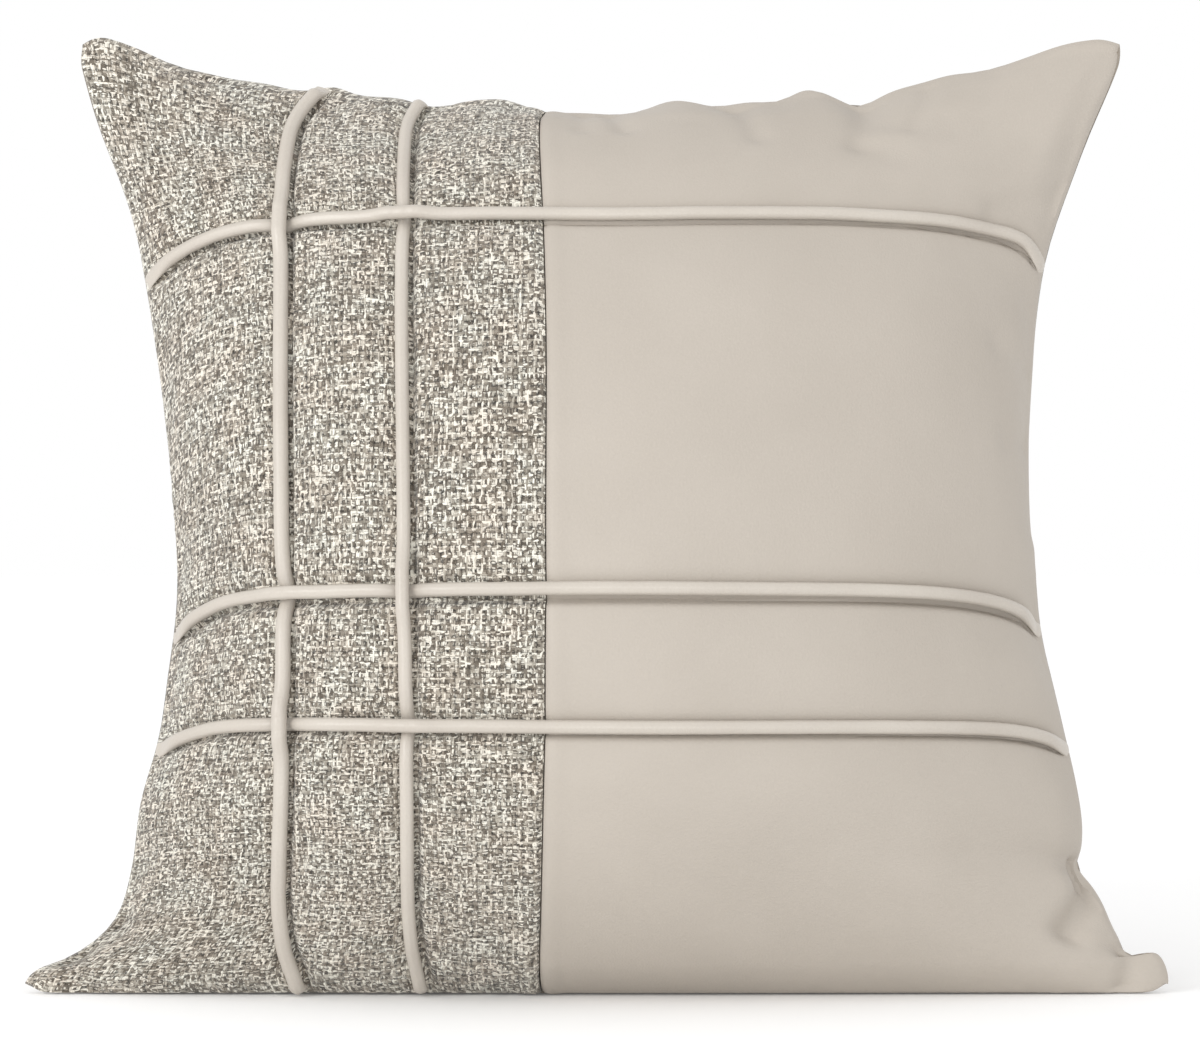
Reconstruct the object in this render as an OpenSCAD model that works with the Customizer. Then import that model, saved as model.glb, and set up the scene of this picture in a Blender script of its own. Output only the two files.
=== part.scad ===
/* [Cover] */
// Side of the square cover, measured flat
cover_side = 450; // [430:5:470]
// Distance of the woven and leather panels' join from the left edge, flat
panel_join_at = 204; // [195:1:215]
// Thickness of the leather and back cloth
cloth_t = 1.2; // [0.8:0.1:1.6]
// Thickness of the woven panel
tweed_t = 1.8; // [1.2:0.1:2.2]

/* [Standing shape] */
// Height of the top seam at its middle
top_mid_h = 352; // [340:1:360]
// How much higher the two top corners stand
top_ear_rise = 30; // [20:1:36]
// Half width at the waist
waist_half = 172; // [166:1:180]
// Half width at the top corners
top_ear_half = 214; // [205:1:222]
// Half width at the bottom corners
bottom_ear_half = 222; // [212:1:230]
// Lean of the seam plane, in degrees
lean = 10.3; // [8:0.1:12]
// Bulge of the front, ahead of the seam plane
front_depth = 86; // [75:1:95]
// Where the seam plane meets the ground
foot_y = -25.4; // [-29:0.2:-22]
// Rear end of the flat base
base_rear = 48.6; // [44:0.2:52]

/* [Cords] */
// Diameter of a wrapped cord
cord_d = 6; // [5:0.2:7]
// Diameter of the cotton core
core_d = 4; // [3:0.2:4]
// Left upright cord, from the left edge, flat
upright_left_at = 88; // [80:1:95]
// Right upright cord, from the left edge, flat
upright_right_at = 144; // [135:1:150]
// Lowest cross cord, from the bottom edge, flat
cross_low_at = 152; // [145:1:158]
// Middle cross cord, from the bottom edge, flat
cross_mid_at = 207; // [200:1:212]
// Highest cross cord, from the bottom edge, flat
cross_high_at = 353; // [345:1:360]

/* [Zip] */
// Height of the zip above the ground
zip_h = 36; // [34:1:38]
// Length of the toothed part
zip_len = 300; // [260:2:300]
// Width of one tape
tape_w = 13; // [11:0.5:13]
// Spacing of the teeth
tooth_pitch = 1.7; // [1.5:0.1:2]

/* [Hidden] */
$fn = 48;

// Grid of the cover panels, and of the insert inside it
grid_v = 24;
grid_u = 26;
inner_grid = 14;

// The seam: height of its bottom edge, half gap between front and back cloth, and edge thickness
seam_h = 6;
seam_gap = 0.5;
edge_t = 1.2;
inner_edge_t = 0.3;
waist_h = 180;

// The back below the zip: front end of the flat base, curl radius, and the upright band for the zip
base_front = foot_y + 12;
curl_r = 22;
band_h = 28;
band_top = curl_r + band_h;
band_y = base_rear + curl_r;
ramp_s = 12.5;
base_s = ramp_s + base_rear - base_front;
curl_s = base_s + curl_r * PI / 2;
band_s = curl_s + band_h;
flat_share = 0.86;
back_ref = band_y - foot_y - zip_h * tan(lean);

// Layers inside the cover, as distances in from its outer face
insert_in = 7;
insert_t = 0.8;
insert_size = 0.95;
fill_in = 12;
fill_size = 0.9;
label_in = 3.2;
label_t = 0.4;

// Cords: how they pass each other, and how far they stop from the seam
cord_air = 0.3;
core_air = 0.1;
cord_rings = 44;
cord_sides = 8;
hump_flat = 6;
hump_half = 34;
cord_end = 0.012;
u_left = 2 * upright_left_at / cover_side - 1;
u_right = 2 * upright_right_at / cover_side - 1;
u_join = 2 * panel_join_at / cover_side - 1;
v_low = cross_low_at / cover_side;
v_mid = cross_mid_at / cover_side;
v_high = cross_high_at / cover_side;
join_gap = 0.0012;

// Zip sizes
panel_edge = 8;
opening_share = 0.87;
join_half = 0.6;
tape_t = 0.6;
face_y = band_y + seam_gap + edge_t;
tape_y = band_y - 1.3;
tape_gap = 0.8;
coil_in = 0.5;
coil_out = 3.4;
coil_back = 1.4;
tooth_w = 0.9;
tooth_l = 2.4;
coil_t = 2;
coil_y = tape_y + tape_t + 0.15;
plate_t = 1.2;
slider_l = 11;
slider_w = 9.8;
slider_x = -zip_len / 2 + 10;
outer_plate_y = coil_y + coil_t + 0.3;
inner_plate_y = tape_y - 0.4 - plate_t;
plate_top = outer_plate_y + plate_t;
bail_r = 3;
bail_hole_r = 1.9;
bail_w = 2.2;
pin_r = 0.6;
pin_y = plate_top + 0.9;
post_t = 0.7;
lip_t = 0.9;
lip_y = tape_y + tape_t + 0.4;
stop_l = 2.2;
stop_gap = 1.2;
tape_len = zip_len + 10;
tab_l = 26;
tab_w = 6;
tab_t = 1;
tab_slot_w = 3.2;
tab_slot_l = 3.8;

// Threads and stitches
thread_r = 0.35;
seam_thread_in = 0.8;
join_thread_in = 1.2;
stitch_r = 0.25;
stitch_len = 2.8;
stitch_air = 0.1;
stitch_pitch = 4;
stitches = 74;
stitch_rows = [panel_edge + 1.5, panel_edge + 5];

function mix(a, b, t) = a + (b - a) * t;
function clamp01(t) = max(0, min(1, t));
function smooth(t) = let (s = clamp01(t)) s * s * (3 - 2 * s);
function unit(p) = p / norm(p);

// The plane that the perimeter seam lies in, leaning back
function seam_y(z) = foot_y + z * tan(lean);

// Half width of the cover at a height, pulled in at the waist and out at the corners
function half_width(z) =
    z > waist_h
    ? mix(waist_half, top_ear_half, pow((z - waist_h) / (top_mid_h + top_ear_rise - waist_h), 1.75))
    : let (t = (waist_h - z) / (waist_h - seam_h))
      waist_half + 16 * pow(t, 1.8) + (bottom_ear_half - waist_half - 16) * pow(t, 10);

// Height of the side seams, up the cloth from v = 0 to 1
function side_h(v) = seam_h + (top_mid_h + top_ear_rise - seam_h) * pow(v, 1.27);

// Share of the half width at a place across the cloth, from -1 to 1
function across(u, v) =
    let (a = abs(u), body = pow(sin(180 * v), 0.5))
    sign(u) * mix(a * (0.9 + 0.1 * pow(a, 4)), 0.6 * a + 0.4 * sin(90 * a), body);

// The front at its middle: height, and depth ahead of the seam plane
function front_h(v) = mix(seam_h, top_mid_h, v - (0.02 + 0.075 * v) * sin(360 * v));
function front_bulge(v) = front_depth * pow(sin(180 * pow(v, 0.93)), 0.72);

// The back at its middle, as [y, z]: seam, flat base, curl, upright band for the zip, and the bulge
function back_mid(v) =
    let (s = v * cover_side)
    s <= ramp_s
    ? let (t = s / ramp_s) [mix(seam_y(seam_h), base_front, t), seam_h * (1 - smooth(t))]
    : s <= base_s
    ? [mix(base_front, base_rear, (s - ramp_s) / (base_s - ramp_s)), 0]
    : s <= curl_s
    ? let (a = 90 * (s - base_s) / (curl_s - base_s))
      [base_rear + curl_r * sin(a), curl_r * (1 - cos(a))]
    : s <= band_s
    ? [band_y, curl_r + s - curl_s]
    : let (t = (s - band_s) / (cover_side - band_s))
      let (z = mix(band_top, top_mid_h, t + 0.08 * sin(180 * t)))
      [seam_y(z) + (band_y - seam_y(band_top)) * pow(cos(90 * pow(t, 1.35)), 0.62), z];

// How far across the back is flat before it turns to the side seam
function back_flat(v) = flat_share * (1 - smooth((v - 0.33) / 0.4));

// Which way is in, as a share of a layer's distance, up the front and up the back
function rise_in(v) = -sin(90 * (2 * v - 1));
function back_rise_in(v) =
    cos(90 * smooth((v * cover_side - base_s) / (curl_s - base_s)))
    - sin(90 * pow(clamp01((v * cover_side - band_s) / (cover_side - band_s)), 1.5));

// An inner layer is cut smaller than the cover, and closes to its own seam
function cut_v(v, size) = 0.5 + size * (v - 0.5);
function closing(u, v, size) =
    size == 1
    ? 1
    : pow(cos(90 * abs(u)) / cos(90 * size * abs(u)), 0.75)
      * pow(sin(180 * v) / sin(180 * cut_v(v, size)), 0.6);

// A point of the front cloth: d is how far inside the outer face, e is the edge's distance from the
// seam plane, and size is the layer's cut size as a share of the cover's
function front_point(u0, v0, d, e, size = 1) =
    let (
        u = size * u0,
        v = cut_v(v0, size),
        a = abs(u),
        h = side_h(v),
        z = mix(front_h(v), h, pow(a, mix(5, 2, smooth((v - 0.8) / 0.2)))) + d * rise_in(v),
        depth = front_bulge(v) * pow(cos(90 * a), 0.75) * (1 - d / front_depth)
    )
    [(half_width(h) - d) * across(u, v), seam_y(z) - e - depth * closing(u0, v0, size), z];

// A point of the back cloth
function back_point(u0, v0, d, e, size = 1) =
    let (
        u = size * u0,
        v = cut_v(v0, size),
        a = abs(u),
        h = side_h(v),
        flat = back_flat(v),
        r = max(0, (a - flat) / (1 - flat)),
        mid = back_mid(v),
        z = mix(mid[1], h, pow(r, 2)) + d * mix(back_rise_in(v), rise_in(v), r * r),
        depth = (mid[0] - seam_y(mid[1])) * pow(cos(90 * r), 0.7) * (1 - d / back_ref)
    )
    [(half_width(h) - d) * across(u, v), seam_y(z) + e + depth * closing(u0, v0, size), z];

function on_seam(u, v) = abs(u) == 1 || v == 0 || v == 1;
function cloth_point(back, u, v, d, e, size) =
    !back
    ? front_point(u, v, d, e, size)
    : size < 1 && on_seam(u, v)
    ? front_point(u, v, d, 0, size) + [0, e, 0]
    : back_point(u, v, d, e, size);

// Outward direction of the front cloth
function front_normal(u, v) =
    let (k = 0.002)
    unit(cross(
        front_point(u + k, v, 0, 0) - front_point(u - k, v, 0, 0),
        front_point(u, min(v + k, 1), 0, 0) - front_point(u, v - k, 0, 0)
    ));

// Place up the back cloth of a height within the zip's band
function band_v(z) = (curl_s + z - curl_r) / cover_side;

// Half the zip's opening between the back panels, which meet again beyond its ends
function panel_gap(u) = abs(u) < opening_share ? panel_edge : join_half;

// One end of a panel's range up the cloth: a plain place, or an edge beside the zip
function range_v(end, u) = is_num(end) ? end : band_v(zip_h + end[0] * panel_gap(u));

// A row's place up the cloth; a range may name a crease and the row that lies on it
function row_v(vs, u, j, nv) =
    let (low = range_v(vs[0], u), high = range_v(vs[1], u))
    len(vs) < 4
    ? mix(low, high, j / nv)
    : j <= vs[3]
    ? mix(low, vs[2], j / vs[3])
    : mix(vs[2], high, (j - vs[3]) / (nv - vs[3]));

function cloth_grid(back, us, vs, nu, nv, d, e, size) = [
    for (j = [0 : nv]) for (i = [0 : nu])
        let (u = mix(us[0], us[1], i / nu))
        cloth_point(back, u, row_v(vs, u, j, nv), d, e, size)
];

function grid_faces(nu, nv, first, turned) = [
    for (j = [0 : nv - 1]) for (i = [0 : nu - 1])
        let (a = first + j * (nu + 1) + i, b = a + 1, c = b + nu + 1, d = a + nu + 1)
        each turned ? [[a, b, c], [a, c, d]] : [[a, c, b], [a, d, c]]
];

function rim_loop(nu, nv) = [
    for (i = [0 : nu - 1]) i,
    for (j = [0 : nv - 1]) j * (nu + 1) + nu,
    for (i = [nu : -1 : 1]) nv * (nu + 1) + i,
    for (j = [nv : -1 : 1]) j * (nu + 1)
];

function rim_faces(nu, nv, turned) =
    let (loop = rim_loop(nu, nv), n = len(loop), m = (nu + 1) * (nv + 1))
    [
        for (k = [0 : n - 1])
            let (p = loop[k], q = loop[(k + 1) % n])
            each turned ? [[p, q + m, q], [p, p + m, q + m]] : [[p, q, q + m], [p, q + m, p + m]]
    ];

// A piece of cloth between two layers, over a range across and a range up
module cloth_shell(back, us, vs, nu, nv, outer, inner, edges, size = 1) {
    m = (nu + 1) * (nv + 1);
    polyhedron(
        points = concat(
            cloth_grid(back, us, vs, nu, nv, outer, edges[0], size),
            cloth_grid(back, us, vs, nu, nv, inner, edges[1], size)
        ),
        faces = concat(
            grid_faces(nu, nv, 0, back),
            grid_faces(nu, nv, m, !back),
            rim_faces(nu, nv, back)
        )
    );
}

// The closed body of both sides at one layer; each quad is split along the diagonal that runs
// towards the middle, so that the corners stay open
module closed_body(n, d, size) {
    m = (n + 1) * (n + 1);
    inside = n - 1;
    back_points = [
        for (j = [1 : inside]) for (i = [1 : inside])
            back_point(mix(-1, 1, i / n), j / n, d, 0, size)
    ];
    function index(i, j, back) =
        !back || i == 0 || j == 0 || i == n || j == n
        ? j * (n + 1) + i
        : m + (j - 1) * inside + i - 1;
    function split(a, b, c, e, rising) = rising ? [[a, c, b], [a, e, c]] : [[a, e, b], [b, e, c]];
    function quads(back) = [
        for (j = [0 : inside]) for (i = [0 : inside])
            let (a = index(i, j, back), b = index(i + 1, j, back))
            let (c = index(i + 1, j + 1, back), e = index(i, j + 1, back))
            let (rising = (i < n / 2) == (j < n / 2))
            for (t = split(a, b, c, e, rising))
                back ? [t[0], t[2], t[1]] : t
    ];
    polyhedron(
        points = concat(cloth_grid(false, [-1, 1], [0, 1], n, n, d, 0, size), back_points),
        faces = concat(quads(false), quads(true))
    );
}

// Rings of a tube along a path: each path entry is [point, outward direction]
function tube_rings(path, r, sides) = [
    for (k = [0 : len(path) - 1])
        let (
            p = path[k][0],
            t = unit(path[min(k + 1, len(path) - 1)][0] - path[max(k - 1, 0)][0]),
            w = path[k][1],
            n = unit(w - (w * t) * t),
            b = cross(t, n)
        )
        for (i = [0 : sides - 1])
            p + r * (cos(360 * i / sides) * n + sin(360 * i / sides) * b)
];

function tube_faces(rings, sides, first, turned) = [
    for (j = [0 : rings - 2]) for (i = [0 : sides - 1])
        let (a = first + j * sides + i, b = first + j * sides + (i + 1) % sides)
        each turned
            ? [[a, b + sides, a + sides], [a, b, b + sides]]
            : [[a, a + sides, b + sides], [a, b + sides, b]]
];

module solid_tube(path, r, sides) {
    rings = len(path);
    polyhedron(
        points = tube_rings(path, r, sides),
        faces = concat(
            tube_faces(rings, sides, 0, false),
            [[for (i = [0 : sides - 1]) i]],
            [[for (i = [sides - 1 : -1 : 0]) (rings - 1) * sides + i]]
        )
    );
}

module hollow_tube(path, r_out, r_in, sides) {
    rings = len(path);
    m = rings * sides;
    last = (rings - 1) * sides;
    polyhedron(
        points = concat(tube_rings(path, r_out, sides), tube_rings(path, r_in, sides)),
        faces = concat(
            tube_faces(rings, sides, 0, false),
            tube_faces(rings, sides, m, true),
            [for (i = [0 : sides - 1]) let (k = (i + 1) % sides) each [[i, k, m + k], [i, m + k, m + i]]],
            [
                for (i = [0 : sides - 1])
                    let (a = last + i, b = last + (i + 1) % sides)
                    each [[a, b + m, b], [a, a + m, b + m]]
            ]
        )
    );
}

// A closed ring of thread, with no ends
module loop_tube(path, r, sides) {
    rings = len(path);
    points = [
        for (k = [0 : rings - 1])
            let (
                p = path[k][0],
                t = unit(path[(k + 1) % rings][0] - path[(k + rings - 1) % rings][0]),
                w = path[k][1],
                n = unit(w - (w * t) * t),
                b = cross(t, n)
            )
            for (i = [0 : sides - 1])
                p + r * (cos(360 * i / sides) * n + sin(360 * i / sides) * b)
    ];
    faces = [
        for (j = [0 : rings - 1]) for (i = [0 : sides - 1])
            let (a = j * sides + i, b = j * sides + (i + 1) % sides)
            let (c = ((j + 1) % rings) * sides + i, d = ((j + 1) % rings) * sides + (i + 1) % sides)
            each [[a, c, d], [a, d, b]]
    ];
    polyhedron(points = points, faces = faces);
}

// How high a cord humps over the cords that it crosses, at distance s along the cloth
function hump(s) = let (t = clamp01((abs(s) - hump_flat) / (hump_half - hump_flat))) pow(cos(90 * t), 2);
function cord_lift(at, over) = max([for (c = over) hump((at - c) * cover_side)]) * (cord_d + cord_air);

function cord_path(place, lift) = [
    for (k = [0 : cord_rings])
        let (
            at = mix(cord_end, 1 - cord_end, k / cord_rings),
            uv = place == "up" ? [lift[0], at] : [2 * at - 1, lift[0]],
            n = front_normal(uv[0], uv[1]),
            off = cord_d / 2 + cord_air + cord_lift(at, lift[1])
        )
        [front_point(uv[0], uv[1], 0, seam_gap + edge_t) + off * n, n]
];

// Each cord: its place in the cloth, and where along itself it passes over another, as shares of its length
function share_u(u) = (u + 1) / 2;
upright_left = cord_path("up", [u_left, [v_high, v_low]]);
upright_right = cord_path("up", [u_right, [v_mid]]);
cross_high = cord_path("across", [v_high, [share_u(u_right)]]);
cross_mid = cord_path("across", [v_mid, [share_u(u_left)]]);
cross_low = cord_path("across", [v_low, [share_u(u_right)]]);

// The perimeter of one layer, as a closed path with an outward direction
function seam_path(d, n, size) =
    let (m = 4 * n)
    [
        for (k = [0 : m - 1])
            let (
                side = floor(k / n),
                f = (k % n) / n,
                uv = [[2 * f - 1, 0], [1, f], [1 - 2 * f, 1], [-1, 1 - f]][side]
            )
            [front_point(uv[0], uv[1], d, 0, size), [0, 1, 0]]
    ];

module front_tweed_panel() {
    color([0.72, 0.70, 0.66])
        cloth_shell(
            false, [-1, u_join - join_gap], [0, 1], 12, grid_v, 0, tweed_t,
            [seam_gap + edge_t, seam_gap + inner_edge_t]
        );
}

module front_leather_panel() {
    color([0.80, 0.76, 0.72])
        cloth_shell(
            false, [u_join + join_gap, 1], [0, 1], 14, grid_v, 0, cloth_t,
            [seam_gap + edge_t, seam_gap + inner_edge_t]
        );
}

module back_upper_panel() {
    color([0.66, 0.62, 0.58])
        cloth_shell(
            true, [-1, 1], [[1], 1, band_s / cover_side, 1], grid_u, 16, 0, cloth_t,
            [seam_gap + edge_t, seam_gap + inner_edge_t]
        );
}

module back_lower_panel() {
    color([0.66, 0.62, 0.58])
        cloth_shell(
            true, [-1, 1], [0, [-1], curl_s / cover_side, 16], grid_u, 18, 0, cloth_t,
            [seam_gap + edge_t, seam_gap + inner_edge_t]
        );
}

module cord_wrap(path) {
    color([0.82, 0.78, 0.73]) hollow_tube(path, cord_d / 2, core_d / 2 + core_air, cord_sides);
}

module cord_core(path) {
    color([0.93, 0.91, 0.86]) solid_tube(path, core_d / 2, cord_sides);
}

module upright_cord_left_wrap() {
    cord_wrap(upright_left);
}

module upright_cord_right_wrap() {
    cord_wrap(upright_right);
}

module cross_cord_low_wrap() {
    cord_wrap(cross_low);
}

module cross_cord_mid_wrap() {
    cord_wrap(cross_mid);
}

module cross_cord_high_wrap() {
    cord_wrap(cross_high);
}

module upright_cord_left_core() {
    cord_core(upright_left);
}

module upright_cord_right_core() {
    cord_core(upright_right);
}

module cross_cord_low_core() {
    cord_core(cross_low);
}

module cross_cord_mid_core() {
    cord_core(cross_mid);
}

module cross_cord_high_core() {
    cord_core(cross_high);
}

// Thread that closes the cover all round
module perimeter_seam_thread() {
    color([0.62, 0.58, 0.53]) loop_tube(seam_path(seam_thread_in, grid_v, 1), thread_r, 4);
}

// Thread that joins the woven and the leather panel, just under the cloth
module panel_join_thread() {
    path = [
        for (j = [1 : grid_v - 1])
            let (v = j / grid_v)
            [front_point(u_join, v, tweed_t + join_thread_in, seam_gap + edge_t), front_normal(u_join, v)]
    ];
    color([0.62, 0.58, 0.53]) solid_tube(path, thread_r, 4);
}

// Two rows of stitches on each side of the zip
module zip_topstitch_thread() {
    color([0.60, 0.56, 0.51])
        for (side = [-1, 1]) for (row = stitch_rows)
            for (k = [0 : stitches - 1])
                translate([
                    (k + 0.5 - stitches / 2) * stitch_pitch,
                    face_y + stitch_r + stitch_air,
                    zip_h + side * row
                ])
                    rotate([0, 90, 0])
                        cylinder(h = stitch_len, r = stitch_r, center = true, $fn = 16);
}

module zip_tape(side) {
    color([0.63, 0.60, 0.55])
        translate([-tape_len / 2, tape_y, side > 0 ? zip_h + tape_gap : zip_h - tape_gap - tape_w])
            cube([tape_len, tape_t, tape_w]);
}

module zip_tape_upper() {
    zip_tape(1);
}

module zip_tape_lower() {
    zip_tape(-1);
}

// A row of teeth on its cord; the two rows are half a pitch apart
module zip_coil(side) {
    teeth = floor(zip_len / tooth_pitch);
    color([0.56, 0.52, 0.48])
        translate([side * tooth_pitch / 4, coil_y, zip_h])
            rotate([90, 0, 0])
                mirror([0, 0, 1])
                    linear_extrude(height = coil_t)
                        union() {
                            translate([-teeth * tooth_pitch / 2, side > 0 ? coil_out - coil_back : -coil_out])
                                square([teeth * tooth_pitch, coil_back]);
                            for (k = [0 : teeth - 1])
                                translate([
                                    (k + 0.5 - teeth / 2) * tooth_pitch - tooth_w / 2,
                                    side > 0 ? coil_in : -coil_in - tooth_l
                                ])
                                    square([tooth_w, tooth_l]);
                        }
}

module zip_coil_upper() {
    zip_coil(1);
}

module zip_coil_lower() {
    zip_coil(-1);
}

// A stop on each tape at the closed end
module zip_end_stops_closed() {
    color([0.70, 0.69, 0.66])
        for (side = [-1, 1])
            translate([
                -zip_len / 2 - stop_l - stop_gap,
                coil_y,
                side > 0 ? zip_h + coil_in : zip_h - coil_out
            ])
                cube([stop_l, coil_t, coil_out - coil_in]);
}

// One stop across both tapes at the open end
module zip_end_stop_open() {
    color([0.70, 0.69, 0.66])
        translate([zip_len / 2 + stop_gap, coil_y, zip_h - coil_out])
            cube([stop_l, coil_t, 2 * coil_out]);
}

// A plate of the slider, with round ends
module slider_plate(y) {
    intersection() {
        translate([-slider_l / 2, y, -slider_w / 2]) cube([slider_l, plate_t, slider_w]);
        translate([0, y - 1, 0]) rotate([-90, 0, 0]) cylinder(h = plate_t + 2, r = slider_l * 0.58);
    }
}

module zip_slider() {
    color([0.72, 0.70, 0.66])
        translate([slider_x, 0, zip_h]) {
            slider_plate(outer_plate_y);
            slider_plate(inner_plate_y);
            // Thin post between the two plates, which parts the teeth
            translate([-slider_l / 2 + 0.6, inner_plate_y + 0.2, -post_t / 2])
                cube([2.4, plate_top - inner_plate_y - 0.4, post_t]);
            // Lips that keep the teeth in
            for (side = [-1, 1])
                translate([-slider_l / 2 + 2, lip_y, side > 0 ? slider_w / 2 - lip_t : -slider_w / 2])
                    cube([slider_l - 4, outer_plate_y - lip_y + 0.2, lip_t]);
            // Bail that the pull tab hangs in
            difference() {
                translate([0, plate_top, -bail_w / 2]) cylinder(h = bail_w, r = bail_r);
                translate([0, plate_top, -bail_w]) cylinder(h = 2 * bail_w, r = bail_hole_r);
                translate([-bail_r - 1, plate_top - bail_r - 1, -bail_w])
                    cube([2 * bail_r + 2, bail_r + 1, 2 * bail_w]);
            }
        }
}

module zip_pull_tab() {
    color([0.80, 0.76, 0.72])
        translate([slider_x, pin_y, zip_h]) {
            // Round bar held in the bail
            translate([0, 0, -tab_w / 2]) cylinder(h = tab_w, r = pin_r);
            difference() {
                union() {
                    translate([0, -tab_t / 2, -tab_w / 2]) cube([tab_l - tab_w / 2, tab_t, tab_w]);
                    translate([tab_l - tab_w / 2, -tab_t / 2, 0])
                        rotate([-90, 0, 0]) cylinder(h = tab_t, r = tab_w / 2);
                }
                translate([-1, -tab_t, -tab_slot_w / 2]) cube([tab_slot_l + 1, 2 * tab_t, tab_slot_w]);
            }
        }
}

module insert_front_shell() {
    color([0.95, 0.95, 0.93])
        cloth_shell(
            false, [-1, 1], [0, 1], inner_grid, inner_grid, insert_in, insert_in + insert_t,
            [seam_gap + edge_t, seam_gap + inner_edge_t], insert_size
        );
}

module insert_back_shell() {
    color([0.95, 0.95, 0.93])
        cloth_shell(
            true, [-1, 1], [0, 1], inner_grid, inner_grid, insert_in, insert_in + insert_t,
            [seam_gap + edge_t, seam_gap + inner_edge_t], insert_size
        );
}

module insert_seam_thread() {
    color([0.9, 0.9, 0.88]) loop_tube(seam_path(insert_in + 0.5, inner_grid, insert_size), thread_r, 4);
}

module fibre_fill() {
    color([0.98, 0.98, 0.97]) closed_body(inner_grid, fill_in, fill_size);
}

// Blank woven label, sewn inside the back
module care_label() {
    color([0.97, 0.96, 0.93])
        cloth_shell(
            true, [0.3, 0.42], [0.4, 0.49], 2, 2, label_in, label_in + label_t, [seam_gap, seam_gap]
        );
}

front_tweed_panel();
front_leather_panel();
back_upper_panel();
back_lower_panel();
upright_cord_left_wrap();
upright_cord_right_wrap();
cross_cord_low_wrap();
cross_cord_mid_wrap();
cross_cord_high_wrap();
upright_cord_left_core();
upright_cord_right_core();
cross_cord_low_core();
cross_cord_mid_core();
cross_cord_high_core();
perimeter_seam_thread();
panel_join_thread();
zip_topstitch_thread();
zip_tape_upper();
zip_tape_lower();
zip_coil_upper();
zip_coil_lower();
zip_end_stops_closed();
zip_end_stop_open();
zip_slider();
zip_pull_tab();
insert_front_shell();
insert_back_shell();
insert_seam_thread();
fibre_fill();
care_label();
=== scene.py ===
import math

import bpy
import numpy as np
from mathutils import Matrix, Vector


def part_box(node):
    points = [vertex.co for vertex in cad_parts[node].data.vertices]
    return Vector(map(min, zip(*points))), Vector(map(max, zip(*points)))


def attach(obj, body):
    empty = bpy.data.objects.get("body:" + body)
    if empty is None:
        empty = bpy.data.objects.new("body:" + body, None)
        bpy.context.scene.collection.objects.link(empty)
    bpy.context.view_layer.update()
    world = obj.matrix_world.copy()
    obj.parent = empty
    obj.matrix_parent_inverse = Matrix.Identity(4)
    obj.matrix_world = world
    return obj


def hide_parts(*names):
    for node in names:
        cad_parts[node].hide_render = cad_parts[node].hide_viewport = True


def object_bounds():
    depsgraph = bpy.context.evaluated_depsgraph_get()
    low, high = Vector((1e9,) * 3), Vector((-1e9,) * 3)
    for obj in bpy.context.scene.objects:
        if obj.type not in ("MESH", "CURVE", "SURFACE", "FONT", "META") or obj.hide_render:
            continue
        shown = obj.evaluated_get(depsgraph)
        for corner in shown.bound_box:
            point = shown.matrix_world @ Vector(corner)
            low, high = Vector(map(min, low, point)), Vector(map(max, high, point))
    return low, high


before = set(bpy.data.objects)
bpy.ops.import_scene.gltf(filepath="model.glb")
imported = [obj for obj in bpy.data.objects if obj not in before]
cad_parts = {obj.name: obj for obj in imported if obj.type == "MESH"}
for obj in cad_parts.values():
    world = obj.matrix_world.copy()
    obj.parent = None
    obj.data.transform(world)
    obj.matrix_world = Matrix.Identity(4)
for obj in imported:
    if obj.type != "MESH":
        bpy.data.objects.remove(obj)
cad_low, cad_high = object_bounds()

MM = 0.001
scene = bpy.context.scene

# ---------------------------------------------------------------- camera
# A long lens 1.5 m in front, level, at about the height of the cushion's middle
camera = bpy.data.objects.new("camera", bpy.data.cameras.new("camera"))
scene.collection.objects.link(camera)
camera.location = (0.0008, -1.5, 0.184)
camera.rotation_euler = (math.radians(90), 0, 0)
camera.data.sensor_width = 36
camera.data.lens = 112.5
camera.data.clip_end = 60
scene.camera = camera
scene.view_settings.view_transform = "Standard"

# ---------------------------------------------------------------- sizes of the cover, in mm
SIDE = 450.0              # side of the square cover, measured flat
JOIN_AT = 204.0           # the woven and the leather panel's join, from the left edge
TWEED_T = 1.8
LEATHER_T = 1.2
BACK_T = 1.2
SEAM_ROLL = 2.6           # radius over which each cloth rolls into the seam
SEAM_IN, SEAM_OUT = 0.15, 1.6    # half the seam's thickness at its edge, and past the roll
CORNER_R = 11.0           # radius of the cut's corners

# The stuffed cover as it stands: heights above the ground and half widths
CORNER_HALF = cad_high[0] / MM
TOP_EAR = cad_high[2] / MM
TOP_MID = TOP_EAR - 30.0
TOP_HALF = CORNER_HALF - 8.0
WAIST_HALF = 172.0
WAIST_H = 180.0
WAIST_FLARE = 16.0        # how much the sides widen from the waist down to the lower ears
SEAM_H = 3.0              # height of the bottom seam, pressed down

# Its lean and depth: the seam's plane, the flat base, the curl behind it and the band for the zip
LEAN = math.tan(math.radians(10.3))
FRONT_DEPTH = 86.0        # how far the front bulges ahead of the seam's plane
FOOT_Y = -25.4            # where that plane meets the ground
BASE_FRONT = FOOT_Y + 12
BASE_REAR = 48.6
RAMP = 12.5               # the cloth between the bottom seam and the flat base
CURL_R = 22.0
BAND_H = 28.0
BAND_TOP = CURL_R + BAND_H
BAND_Y = BASE_REAR + CURL_R

# The same places by their distance along the back cloth from the bottom seam
BASE_S = RAMP + BASE_REAR - BASE_FRONT
CURL_S = BASE_S + CURL_R * math.pi / 2
BAND_S = CURL_S + BAND_H

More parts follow.
